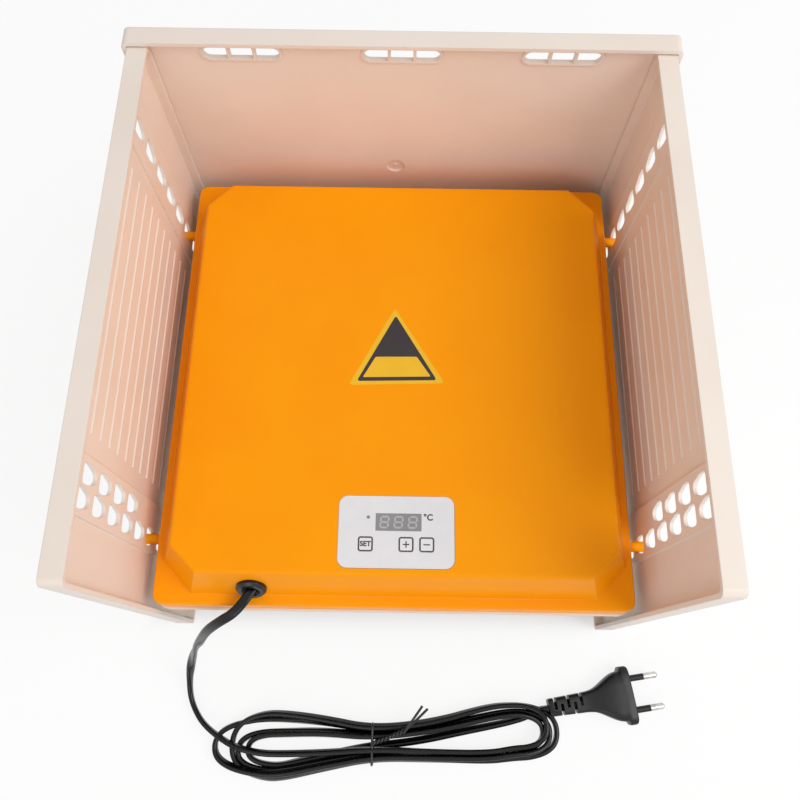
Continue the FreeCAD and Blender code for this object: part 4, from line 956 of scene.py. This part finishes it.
@dataclass
class Lead:
    """The mains lead: a flat two-core cord from the bush to the plug, wound into a loose hank.

    Attributes:
        width: the flat cord's width.
        thickness: its thickness.
        sides: corners of its cross-section.
        steps: rings for each control point.
        droop: route from inside the bush down to the hank.
        stations: X of the control points along the hank's sides.
        far_side: Y of the outermost and the innermost far strand at each station.
        near_side: the same for the near strands.
        bend_angles: where the control points stand round an end of the hank, in degrees.
        fullness: the power that makes an end rounder than an ellipse.
        turns: the turns of the hank.
        run_out: route from the last turn to the plug.
        mouth: where the cord leaves the bush.
        bend_top: above this height, near the bush, it is wide across.
        bend_foot: below this height, on the floor, it stands on edge and rolls.
        hang: the direction in which it is wide at the bush.
        rolls: how it rolls in the hank: waves with their radians for each metre, phase and size.
        squareness: the power that makes a core squarer than an ellipse.
        waist: how deep the groove between its cores is, as a share of half the thickness.
        groove: the power that makes the groove narrow.
        length: its length, in metres.
    """

    width: float = 5.4
    thickness: float = 3.6
    sides: int = 18
    steps: int = 11
    droop: tuple[Point, ...] = (
        (-72.22, -124.85, 110.46),
        (-77.26, -135.17, 113.94),
        (-84.5, -143.5, 111.0),
        (-93.0, -147.5, 105.5),
        (-102.5, -151.5, 92.0),
        (-110.5, -155.5, 70.5),
        (-118.5, -159.5, 47.0),
        (-126.0, -165.5, 24.0),
        (-130.0, -175.5, 8.5),
        (-129.5, -187.5, 3.4),
        (-124.0, -198.0, 3.6),
        (-116.5, -205.6, 5.6),
        (-102.3, -213.9, 9.0),
        (-92.4, -217.2, 10.6),
        (-81.5, -219.1, 10.5),
    )
    stations: tuple[float, ...] = (-70.0, -43.0, -12.0, 26.0, 60.0, 76.0)
    far_side: tuple[Spot, ...] = (
        (-196.0, -208.6),
        (-199.0, -207.6),
        (-204.5, -209.9),
        (-200.0, -205.0),
        (-190.3, -197.0),
        (-189.0, -194.4),
    )
    near_side: tuple[Spot, ...] = (
        (-234.0, -219.4),
        (-227.8, -218.4),
        (-221.4, -216.0),
        (-221.8, -216.8),
        (-222.4, -217.1),
        (-220.2, -214.1),
    )
    bend_angles: tuple[float, ...] = (-72.0, -44.0, -15.0, 15.0, 44.0, 72.0)
    fullness: float = 0.82
    turns: tuple[Turn, ...] = (
        Turn(
            near=Pass((1.0, 1.0), (10.4, 8.4)),
            right=Loop(97.0, 10.2),
            far=Pass((0.0, 0.0), (8.4, 8.4)),
            left=Loop(-101.0, 4.0),
        ),
        Turn(
            near=Pass((0.0, 0.0), (3.0, 2.9)),
            right=Loop(104.5, 3.8),
            far=Pass((0.0, 0.3), (2.9, 3.0)),
            left=Loop(-112.0, 4.4),
        ),
        Turn(
            near=Pass((0.2, 0.36), (8.6, 8.3)),
            right=Loop(99.5, 6.2),
            far=Pass((0.66, 0.85), (2.9, 2.9)),
            left=Loop(-97.0, 3.4),
        ),
        Turn(
            near=Pass((0.27, 0.8), (2.9, 2.9)),
            right=Loop(95.0, 6.6),
            far=Pass((1.0, 1.0), (8.3, 7.6)),
            left=Loop(-90.5, 4.4),
        ),
    )
    run_out: tuple[Point, ...] = (
        (-69.5, -226.4, 2.9),
        (-57.3, -223.6, 2.9),
        (-43.4, -220.6, 2.9),
        (-27.9, -217.3, 2.9),
        (-12.3, -214.4, 2.9),
        (5.0, -212.7, 2.9),
        (23.8, -209.7, 2.9),
        (41.2, -205.9, 2.9),
        (60.3, -202.1, 2.9),
        (74.6, -199.1, 2.9),
        (85.8, -195.9, 3.2),
        (92.3, -191.6, 4.6),
        (98.7, -190.6, 6.4),
        (106.6, -189.3, 6.85),
    )
    mouth: Point = (-76.0, -132.594, 113.071)
    bend_top: float = 104.0
    bend_foot: float = 12.0
    hang: Point = (0.93, -0.36, 0.0)
    rolls: tuple[Point, ...] = ((21.0, 0.0, 0.45), (8.3, 1.0, 0.35))
    squareness: float = 0.74
    waist: float = 0.16
    groove: int = 8
    length: float = 2.1

    def strand(self, sides: Sequence[Spot], course: Pass, leftwards: bool) -> list[Vector]:
        """The control points of one strand along a side of the hank.

        Args:
            sides: Y of that side's outermost and innermost strand at each station.
            course: how the strand lies.
            leftwards: whether it runs to the left.

        Returns:
            The points in the cord's direction, in millimetres.
        """
        made = []
        last = len(self.stations) - 1
        for index in range(last + 1):
            share = index / last
            station = last - index if leftwards else index
            y = mix(sides[station], mix(course.lanes, share))
            made.append(Vector((self.stations[station], y, mix(course.heights, share))))
        return made

    def round_end(self, start: Vector, end: Vector, loop: Loop) -> list[Vector]:
        """The control points round an end of the hank, from one strand's end to the next one's start."""
        made = []
        for degrees in self.bend_angles:
            angle = math.radians(degrees)
            out = math.cos(angle) ** self.fullness
            across = (1.0 + squared(math.sin(angle), self.fullness)) / 2.0
            point = start.lerp(end, across)
            point.x = start.x + (loop.reach - start.x) * out
            point.z += (loop.height - point.z) * out * out
            made.append(point)
        return made

    def hank(self) -> list[Vector]:
        """The control points of all the turns, in millimetres."""
        nears = [self.strand(self.near_side, turn.near, False) for turn in self.turns]
        starts = [near[0] for near in nears[1:]] + [Vector(self.run_out[0])]
        made: list[Vector] = []
        for turn, near, following in zip(self.turns, nears, starts):
            far = self.strand(self.far_side, turn.far, True)
            made += near + self.round_end(near[-1], far[0], turn.right)
            made += far + self.round_end(far[-1], following, turn.left)
        return made

    def centreline(self) -> list[Vector]:
        """The points of the route's smooth spline, read from a curve with no thickness, in metres."""
        holder = route("lead_route", [*self.droop, *self.hank(), *self.run_out], self.steps)
        mesh = bpy.data.meshes.new_from_object(holder)
        line = [vertex.co.copy() for vertex in mesh.vertices]
        bpy.data.objects.remove(holder)
        bpy.data.meshes.remove(mesh)
        return line

    def flat_side(self, place: Vector, run: float) -> Vector:
        """The direction in which the cord is wide: across at the bush, on edge and rolling in the hank."""
        share = min(max((self.bend_top - place.z / MM) / (self.bend_top - self.bend_foot), 0.0), 1.0)
        lying = share * share * (3.0 - 2.0 * share)
        roll = sum(math.sin(run * rate + phase) * size for rate, phase, size in self.rolls)
        return Vector(self.hang).lerp(Vector((0.0, roll, 1.0)), lying)

    def section(self) -> list[Spot]:
        """The flat cord's cross-section: two round cores side by side under one sheath, as (wide, thick)."""
        made = []
        for index in range(self.sides):
            angle = 2.0 * math.pi * index / self.sides
            across = squared(math.cos(angle), self.squareness)
            through = squared(math.sin(angle), self.squareness)
            through *= 1.0 - self.waist * math.sin(angle) ** self.groove
            made.append((across * self.width / 2, through * self.thickness / 2))
        return made

    def rings(self, line: Sequence[Vector]) -> list[Vector]:
        """The corners of the cross-section at every point of the line, in metres."""
        outline = self.section()
        made: list[Vector] = []
        run = 0.0
        for index, place in enumerate(line):
            if index:
                run += (place - line[index - 1]).length
            along = (line[min(index + 1, len(line) - 1)] - line[max(index - 1, 0)]).normalized()
            wide = self.flat_side(place, run)
            wide = (wide - along * wide.dot(along)).normalized()
            thick = along.cross(wide)
            made.extend(place + wide * (a * MM) + thick * (b * MM) for a, b in outline)
        LOG.info("mains_lead: %d rings, %.3f m", len(line), run)
        return made

    def skin(self, rings: int) -> list[tuple[int, ...]]:
        """The faces between a number of rings, and the two ends."""
        faces: list[tuple[int, ...]] = []
        for ring in range(rings - 1):
            near, far = ring * self.sides, (ring + 1) * self.sides
            for side in range(self.sides):
                following = (side + 1) % self.sides
                faces.append((near + side, near + following, far + following, far + side))
        faces.append(tuple(reversed(range(self.sides))))
        faces.append(tuple((rings - 1) * self.sides + side for side in range(self.sides)))
        return faces

    def build(self, paintbox: Paintbox, pieces: Sequence[bpy.types.Object]) -> None:
        """Args:
            paintbox: the materials.
            pieces: the pieces on the cord; not used.
        """
        line = self.centreline()
        mesh = bpy.data.meshes.new("mains_lead")
        mesh.from_pydata([tuple(corner) for corner in self.rings(line)], [], self.skin(len(line)))
        mesh.validate()
        for face in mesh.polygons:
            face.use_smooth = len(face.vertices) == 4
        piece = bpy.data.objects.new("mains_lead", mesh)
        bpy.context.scene.collection.objects.link(piece)
        paintbox.paint(piece, SHEATH)
        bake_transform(piece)
        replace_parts(piece, "lead", "lead_hank", "lead_tail")


# Tie and plug


@dataclass
class Tie:
    """The twist tie round the hank: a band, two strands twisted round each other, and their splayed ends.

    Attributes:
        x: where the band stands across the hank.
        band: its lowest and highest Y and Z.
        corner: radius of its corners.
        radius: radius of a strand.
        knot: where the strands leave the band.
        fork: where their twist ends.
        tips: their ends.
        wind: radius of the twist.
        pitch: its pitch.
        corner_angles: where the control points stand in a corner of the band, in degrees.
        turn_points: control points in each turn of the twist.
        steps: points of a strand for each control point.
        facets: faces in a quarter of a strand's round.
        smooth: the angle up to which its faces look like one, in degrees.
    """

    x: float = -12.4
    band: tuple[float, float, float, float] = (-225.2, -201.2, 1.0, 11.4)
    corner: float = 3.2
    radius: float = 0.8
    knot: Point = (-12.0, -212.5, 11.9)
    fork: Point = (8.0, -205.2, 13.4)
    tips: tuple[Point, Point] = ((18.6, -190.4, 14.6), (22.0, -192.0, 13.6))
    wind: float = 0.8
    pitch: float = 5.0
    corner_angles: tuple[int, ...] = (75, 45, 15)
    turn_points: int = 8
    steps: int = 6
    facets: int = 3
    smooth: float = 50.0

    def loop_points(self) -> list[Point]:
        """The band's control points, from the knot round the hank and back."""
        near, far, low, high = self.band
        made = []
        corners = ((far, high, 0), (far, low, 270), (near, low, 180), (near, high, 90))
        for y, z, first in corners:
            middle_y = y - self.corner if y == far else y + self.corner
            middle_z = z + self.corner if z == low else z - self.corner
            for step in self.corner_angles:
                angle = math.radians(first + step)
                y_out, z_out = self.corner * math.cos(angle), self.corner * math.sin(angle)
                made.append((self.x, middle_y + y_out, middle_z + z_out))
        return made

    def strand_points(self, side: int) -> list[Point]:
        """One strand's control points, wound round the other as far as the fork and then free."""
        start, fork = Vector(self.knot), Vector(self.fork)
        along = (fork - start).normalized()
        level = along.cross(Vector((0.0, 0.0, 1.0))).normalized()
        rise = level.cross(along)
        turns = (fork - start).length / self.pitch
        count = round(turns * self.turn_points)
        made = []
        for index in range(count + 1):
            angle = 2.0 * math.pi * turns * index / count + (math.pi if side else 0.0)
            middle = start.lerp(fork, index / count)
            made.append(tuple(middle + (level * math.cos(angle) + rise * math.sin(angle)) * self.wind))
        return made + [self.tips[side]]

    def strand(self, points: Sequence[Point], closed: bool) -> bpy.types.Object:
        """One round strand along its control points, made a mesh."""
        piece = route("tie_strand", points, self.steps, closed)
        piece.data.bevel_depth, piece.data.bevel_resolution = self.radius * MM, self.facets
        piece.data.use_fill_caps = True
        select_only(piece)
        bpy.ops.object.convert(target="MESH")
        return bpy.context.active_object

    def build(self, paintbox: Paintbox) -> bpy.types.Object:
        """Makes the tie in one piece."""
        strands = [self.strand(self.loop_points(), True)]
        strands += [self.strand(self.strand_points(side), False) for side in (0, 1)]
        piece = joined(strands, "hank_tie")
        bpy.ops.object.shade_smooth_by_angle(angle=math.radians(self.smooth))
        paintbox.dress(piece, TIE_SKIN, "stand")
        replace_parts(piece, "twist_tie")
        return piece


@dataclass
class PlugPiece:
    """A piece of the plug, made along X with the plug's face at the origin and then put in place.

    Attributes:
        face: the middle of the plug's face, in millimetres.
        angle: the direction in which the plug points, in degrees.
        smooth: the angle up to which its faces look like one, in degrees.
    """

    face: Point = (152.0, -181.75, 6.85)
    angle: float = 9.4
    smooth: float = 32.0

    def put_in_place(self, piece: bpy.types.Object, paintbox: Paintbox) -> bpy.types.Object:
        """Turns and moves the active piece to where the plug lies, and finishes it."""
        turn = Matrix.Rotation(math.radians(self.angle), 4, "Z")
        piece.data.transform(Matrix.Translation(metres(self.face)) @ turn)
        bpy.ops.object.shade_smooth_by_angle(angle=math.radians(self.smooth))
        paintbox.dress(piece, PLUG, "stand")
        return piece


class Section(NamedTuple):
    """One cross-section of the plug.

    Attributes:
        place: how far it is from the face, negative behind it, in millimetres.
        width: its width.
        height: its height.
    """

    place: float
    width: float
    height: float


@dataclass
class Plug(PlugPiece):
    """The moulded plug: a flat body that narrows in an S to a slotted strain relief.

    Attributes:
        corners: corners of a cross-section.
        boxiness: the power that makes a cross-section squarer than an ellipse.
        sections: its cross-sections, from the relief's end to the face.
        slots: how many slots the relief has.
        slot: the slot's width.
        relief: where the relief ends and starts.
        overlap: how far each slot reaches past the middle.
    """

    corners: int = 40
    boxiness: float = 0.42
    sections: tuple[Section, ...] = (
        Section(-54.0, 10.0, 7.8),
        Section(-53.3, 10.8, 8.6),
        Section(-31.0, 12.2, 8.8),
        Section(-28.0, 12.7, 9.2),
        Section(-25.0, 13.8, 10.0),
        Section(-22.0, 16.2, 11.0),
        Section(-19.0, 19.6, 12.0),
        Section(-16.0, 23.2, 12.8),
        Section(-13.0, 26.6, 13.3),
        Section(-10.5, 28.8, 13.6),
        Section(-8.0, 30.0, 13.7),
        Section(-6.4, 30.4, 13.7),
        Section(-5.4, 34.8, 13.7),
        Section(-4.8, 35.3, 13.7),
        Section(-1.6, 35.3, 13.7),
        Section(-0.5, 34.2, 13.0),
        Section(0.0, 32.4, 11.8),
    )
    slots: int = 5
    slot: float = 1.8
    relief: Spot = (-54.0, -29.0)
    overlap: float = 1.3

    def body(self) -> bpy.types.Object:
        """The body and relief, extruded from section to section along X."""
        clear_selection()
        bpy.ops.mesh.primitive_circle_add(vertices=self.corners, radius=1.0, fill_type="NGON")
        piece = name_piece("plug_shell")
        last = self.sections[0]
        for index, vertex in enumerate(piece.data.vertices):
            angle = 2.0 * math.pi * index / self.corners
            y = squared(math.cos(angle), self.boxiness) * last.width / 2
            z = squared(math.sin(angle), self.boxiness) * last.height / 2
            vertex.co = metres((last.place, y, z))
        edit_all()
        for section in self.sections[1:]:
            step = (section.place - last.place) * MM
            bpy.ops.mesh.extrude_region_move(TRANSFORM_OT_translate={"value": (step, 0.0, 0.0)})
            bpy.ops.transform.resize(
                value=(1.0, section.width / last.width, section.height / last.height),
                center_override=(section.place * MM, 0.0, 0.0),
            )
            last = section
        tidy_shell()
        return piece

    def cut_slots(self, piece: bpy.types.Object) -> None:
        """Cuts the relief's slots, from one side and the other in turn."""
        start, end = self.relief
        pitch = (end - start) / (self.slots + 1)
        deep = self.sections[-1].width
        cutters = []
        for index in range(self.slots):
            side = -1.0 if index % 2 else 1.0
            middle = (start + (index + 1) * pitch, side * (deep / 2 - self.overlap), 0.0)
            clear_selection()
            bpy.ops.mesh.primitive_cube_add(size=1.0, location=metres(middle))
            bpy.context.active_object.scale = metres((self.slot, deep, deep))
            cutters.append(settle(bpy.context.active_object))
        cutter = joined(cutters, "slot_cutter")
        modifier = piece.modifiers.new("slots", "BOOLEAN")
        modifier.operation, modifier.solver, modifier.object = "DIFFERENCE", "EXACT", cutter
        select_only(piece)
        bpy.ops.object.modifier_apply(modifier=modifier.name)
        bpy.data.objects.remove(cutter)

    def build(self, paintbox: Paintbox) -> bpy.types.Object:
        """Makes the plug's body and turns it into its place."""
        piece = self.body()
        self.cut_slots(piece)
        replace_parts(self.put_in_place(piece, paintbox), "plug_body")
        return piece


@dataclass
class ReliefCore(PlugPiece):
    """The lead's sheath inside the plug's slotted strain relief, thicker towards the plug.

    Attributes:
        ends: how far behind the face the core starts and ends.
        radii: its radius at its start and end.
        rounding: the radius of its rims.
        rim_steps: faces across a rim.
        sides: its corners.
    """

    smooth: float = 40.0
    ends: Spot = (50.0, 27.0)
    radii: Spot = (3.0, 4.0)
    rounding: float = 0.6
    rim_steps: int = 3
    sides: int = 32

    def build(self, paintbox: Paintbox) -> bpy.types.Object:
        """Makes the core as one tapered and rounded piece."""
        start, end = self.ends
        clear_selection()
        bpy.ops.mesh.primitive_cone_add(
            vertices=self.sides,
            radius1=self.radii[0] * MM,
            radius2=self.radii[1] * MM,
            depth=(start - end) * MM,
            location=(-(start + end) / 2 * MM, 0.0, 0.0),
            rotation=(0.0, math.pi / 2, 0.0),
        )
        piece = settle(name_piece("relief_core"))
        edit_all()
        bpy.ops.mesh.bevel(offset=self.rounding * MM, segments=self.rim_steps, affect="EDGES")
        tidy_shell()
        return self.put_in_place(piece, paintbox)


# Prints


class KeyMark(Enum):
    """What is printed on a key."""

    SET = "SET"
    PLUS = "+"
    MINUS = "-"


@dataclass
class Prints:
    """Ink on the cover, the label, the display and the keys.

    Attributes:
        cover_top: height of the cover's top.
        label_top: height of the label's top.
        film: thickness of a printed film.
        ink: thickness of printed ink.
        decal_outer: corners of the sticker.
        decal_inner: corners of its dark field.
        decal_panel: corners of the plain panel in the field.
        key_spots: where each key is, and what is on it.
        frame_size: width of a key's frame.
        frame_radius: radius of its corners.
        frame_stroke: width of its line.
        sign_size: width of a plus or minus.
        sign_stroke: width of its line.
        word_size: size of the letters on a key.
        letter_bold: how much wider each letter's stroke is on either side.
        degree_spot: where the unit stands.
        degree_size: size of its letters.
        digit_spot: the middle of the display.
        digit_height: height of a digit.
        digit_width: its width.
        digit_pitch: distance between two digits.
        digit_lean: how far a digit leans, as a share of its height.
        bar_stroke: width of a digit's bars.
        bar_gap: gap between its bars.
        lamp_spot: where the status lamp looks through the label.
        lamp_rim: outer and inner radius of the film round it.
        corner_steps: faces round a corner.
        circle_sides: corners of a circle.
    """

    cover_top: float = 126.5
    label_top: float = 126.6
    film: float = 0.12
    ink: float = 0.05
    decal_outer: tuple[Spot, ...] = ((-2.1, 29.25), (-27.5, -19.05), (26.8, -17.25))
    decal_inner: tuple[Spot, ...] = ((-1.5, 24.55), (-22.9, -16.65), (22.3, -15.45))
    decal_panel: tuple[Spot, ...] = ((-12.6, -1.7), (-19.6, -14.3), (18.9, -13.3), (10.9, -1.3))
    key_spots: dict[str, tuple[Spot, KeyMark]] = field(
        default_factory=lambda: {
            "key_set": ((-15.3, -108.25), KeyMark.SET),
            "key_plus": ((6.1, -108.25), KeyMark.PLUS),
            "key_minus": ((17.0, -108.25), KeyMark.MINUS),
        }
    )
    frame_size: float = 7.46
    frame_radius: float = 1.2
    frame_stroke: float = 0.58
    sign_size: float = 3.5
    sign_stroke: float = 0.62
    word_size: float = 3.7
    letter_bold: float = 0.14
    degree_spot: Spot = (17.7, -93.9)
    degree_size: float = 4.6
    digit_spot: Spot = (2.0, -96.55)
    digit_height: float = 6.8
    digit_width: float = 5.1
    digit_pitch: float = 7.5
    digit_lean: float = 0.12
    bar_stroke: float = 1.0
    bar_gap: float = 0.12
    lamp_spot: Spot = (-14.1, -94.05)
    lamp_rim: Spot = (1.75, 0.95)
    corner_steps: int = 6
    circle_sides: int = 40

    def outline(
        self, name: str, corners: Sequence[Spot], floor: float, radius: float
    ) -> bpy.types.Object:
        """A flat face with the given corners, rounded where a radius is given, left in edit mode."""
        clear_selection()
        bpy.ops.mesh.primitive_circle_add(vertices=len(corners), radius=1.0, fill_type="NGON")
        piece = name_piece(name)
        for vertex, (x, y) in zip(piece.data.vertices, corners):
            vertex.co = metres((x, y, floor))
        edit_all()
        if radius:
            bpy.ops.mesh.bevel(offset=radius * MM, segments=self.corner_steps, affect="VERTICES")
        return piece

    def patch(
        self, name: str, corners: Sequence[Spot], floor: float, rise: float, radius: float = 0.0
    ) -> bpy.types.Object:
        """A flat patch of film or ink.

        Args:
            name: its name.
            corners: its corners, counterclockwise.
            floor: the height that it lies on.
            rise: its thickness.
            radius: the radius of its corners.

        Returns:
            The piece.
        """
        piece = self.outline(name, corners, floor, radius)
        thicken(rise)
        tidy_shell()
        return settle(piece)

    def rim(self, piece: bpy.types.Object, width: float) -> bpy.types.Object:
        """Keeps only the rim of a flat face in edit mode, and makes it as thick as ink."""
        bpy.ops.mesh.select_mode(type="FACE")
        bpy.ops.mesh.select_all(action="SELECT")
        bpy.ops.mesh.inset(thickness=width * MM, depth=0.0)
        bpy.ops.mesh.delete(type="FACE")
        bpy.ops.mesh.select_all(action="SELECT")
        thicken(self.ink)
        tidy_shell()
        return settle(piece)

    def decal(self, paintbox: Paintbox) -> None:
        """The three-cornered sticker in the middle of the cover."""
        base = self.cover_top
        layers = (
            ("sticker_base", self.decal_outer, YELLOW_INK, 0.0, 2.2),
            ("sticker_field", self.decal_inner, BLACK_INK, self.film, 1.8),
            ("sticker_panel", self.decal_panel, YELLOW_INK, self.film + self.ink, 0.8),
        )
        for name, corners, finish, lift, radius in layers:
            rise = self.film if not lift else self.ink
            piece = self.patch(name, corners, base + lift, rise, radius)
            paintbox.dress(piece, finish, "plate")

    def lettering(
        self, name: str, words: str, spot: Spot, height: float, floor: float
    ) -> bpy.types.Object:
        """Raised ink in the shape of letters, centred on a spot.

        Args:
            name: its name.
            words: what it says.
            spot: its middle.
            height: the size of its letters.
            floor: the height that it lies on.

        Returns:
            The piece.
        """
        clear_selection()
        bpy.ops.object.text_add(location=metres((*spot, floor)))
        text = bpy.context.active_object
        text.data.body = words
        text.data.size = height * MM
        text.data.align_x, text.data.align_y = "CENTER", "CENTER"
        text.data.extrude = self.ink * MM / 2
        text.data.offset = self.letter_bold * MM
        text.data.resolution_u = self.corner_steps
        bpy.ops.object.convert(target="MESH")
        piece = name_piece(name)
        bpy.ops.object.mode_set(mode="EDIT")
        tidy_shell()
        settle(piece)
        lowest = min(vertex.co.z for vertex in piece.data.vertices)
        piece.data.transform(Matrix.Translation((0.0, 0.0, floor * MM - lowest)))
        return piece

    def frame_line(self, name: str, spot: Spot, floor: float) -> bpy.types.Object:
        """The thin rounded square of ink on a key."""
        half = self.frame_size / 2
        x, y = spot
        corners = ((x - half, y - half), (x + half, y - half), (x + half, y + half), (x - half, y + half))
        return self.rim(self.outline(name, corners, floor, self.frame_radius), self.frame_stroke)

    def keys(self, paintbox: Paintbox) -> None:
        """The frames and marks on the three keys."""
        for body, (spot, mark) in self.key_spots.items():
            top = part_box(body)[1].z / MM
            outline = self.frame_line(f"{body}_frame", spot, top)
            paintbox.dress(outline, INK, body)
            if mark is KeyMark.SET:
                sign = self.lettering(f"{body}_mark", mark.value, spot, self.word_size, top)
            else:
                sign = self.patch(f"{body}_mark", self.sign_corners(spot, mark), top, self.ink)
            paintbox.dress(sign, INK, body)

    def sign_corners(self, spot: Spot, mark: KeyMark) -> list[Spot]:
        """The corners of a plus or a minus, counterclockwise from its left end."""
        half, thin = self.sign_size / 2, self.sign_stroke / 2
        if mark is KeyMark.MINUS:
            around = [(-half, -thin), (half, -thin), (half, thin), (-half, thin)]
        else:
            around = [
                (-half, -thin), (-thin, -thin), (-thin, -half), (thin, -half), (thin, -thin), (half, -thin),
                (half, thin), (thin, thin), (thin, half), (-thin, half), (-thin, thin), (-half, thin),
            ]
        return [(spot[0] + a, spot[1] + b) for a, b in around]

    def digits(self, paintbox: Paintbox) -> None:
        """The three unlit digits in the display's window: two bars, copied to every place and joined."""
        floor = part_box("display_window")[1].z / MM
        thin = self.bar_stroke / 2
        right, top = self.digit_width / 2 - thin, self.digit_height / 2 - thin
        long, tall = right - self.bar_gap, top / 2 - self.bar_gap
        level = [
            (-long, 0), (thin - long, -thin), (long - thin, -thin),
            (long, 0), (long - thin, thin), (thin - long, thin),
        ]
        upright = [
            (0, -tall), (thin, thin - tall), (thin, tall - thin),
            (0, tall), (-thin, tall - thin), (-thin, thin - tall),
        ]
        level_places = [(0, -top), (0, 0), (0, top)]
        upright_places = [(-right, -top / 2), (-right, top / 2), (right, -top / 2), (right, top / 2)]
        bars = [
            (self.patch("level_bar", level, floor, self.ink), level_places),
            (self.patch("upright_bar", upright, floor, self.ink), upright_places),
        ]
        copies = []
        for column in (-1, 0, 1):
            for bar, places in bars:
                for a, b in places:
                    copied = bar.copy()
                    copied.data = bar.data.copy()
                    bpy.context.scene.collection.objects.link(copied)
                    x = self.digit_spot[0] + column * self.digit_pitch + a + b * self.digit_lean
                    y = self.digit_spot[1] + b
                    copied.data.transform(Matrix.Translation(metres((x, y, 0.0))))
                    copies.append(copied)
        for bar, _ in bars:
            bpy.data.objects.remove(bar)
        paintbox.dress(joined(copies, "display_digits"), DIGIT_FILM, "plate")

    def lamp_film(self, paintbox: Paintbox) -> None:
        """The ring of film that leaves a small round window over the status lamp."""
        outer, inner = self.lamp_rim
        clear_selection()
        middle = metres((*self.lamp_spot, self.label_top))
        bpy.ops.mesh.primitive_circle_add(
            vertices=self.circle_sides, radius=outer * MM, fill_type="NGON", location=middle
        )
        piece = name_piece("lamp_film")
        bpy.ops.object.mode_set(mode="EDIT")
        paintbox.dress(self.rim(piece, outer - inner), LABEL_FILM, "plate")

    def build(self, paintbox: Paintbox) -> None:
        """Makes every print."""
        self.decal(paintbox)
        self.lamp_film(paintbox)
        self.keys(paintbox)
        self.digits(paintbox)
        degrees = self.lettering("degree_mark", "°C", self.degree_spot, self.degree_size, self.label_top)
        paintbox.dress(degrees, INK, "plate")


# The whole scene


def dress_nodes(frame: dict[str, Any], paintbox: Paintbox) -> None:
    """Gives every carried-over node the finish of its slot."""
    for part in frame["record"]["subparts"]:
        paintbox.paint(frame["nodes"][part["node"]], SLOT_FINISH[part["material_slot"]])


def main() -> None:
    """Builds the scene in order and reports each piece."""
    logging.basicConfig(level=logging.INFO, format="%(name)s: %(message)s")
    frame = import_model()
    paintbox = Paintbox()
    PhotoCamera().build()
    nodes = frame["nodes"]
    plug = [nodes[name] for name in ("plug_pins", "pin_sleeves")]
    plug += [Plug().build(paintbox), ReliefCore().build(paintbox), Tie().build(paintbox)]
    Lead().build(paintbox, plug)
    Studio().build(paintbox)
    dress_nodes(frame, paintbox)
    Prints().build(paintbox)


if __name__ == "__main__":
    main()
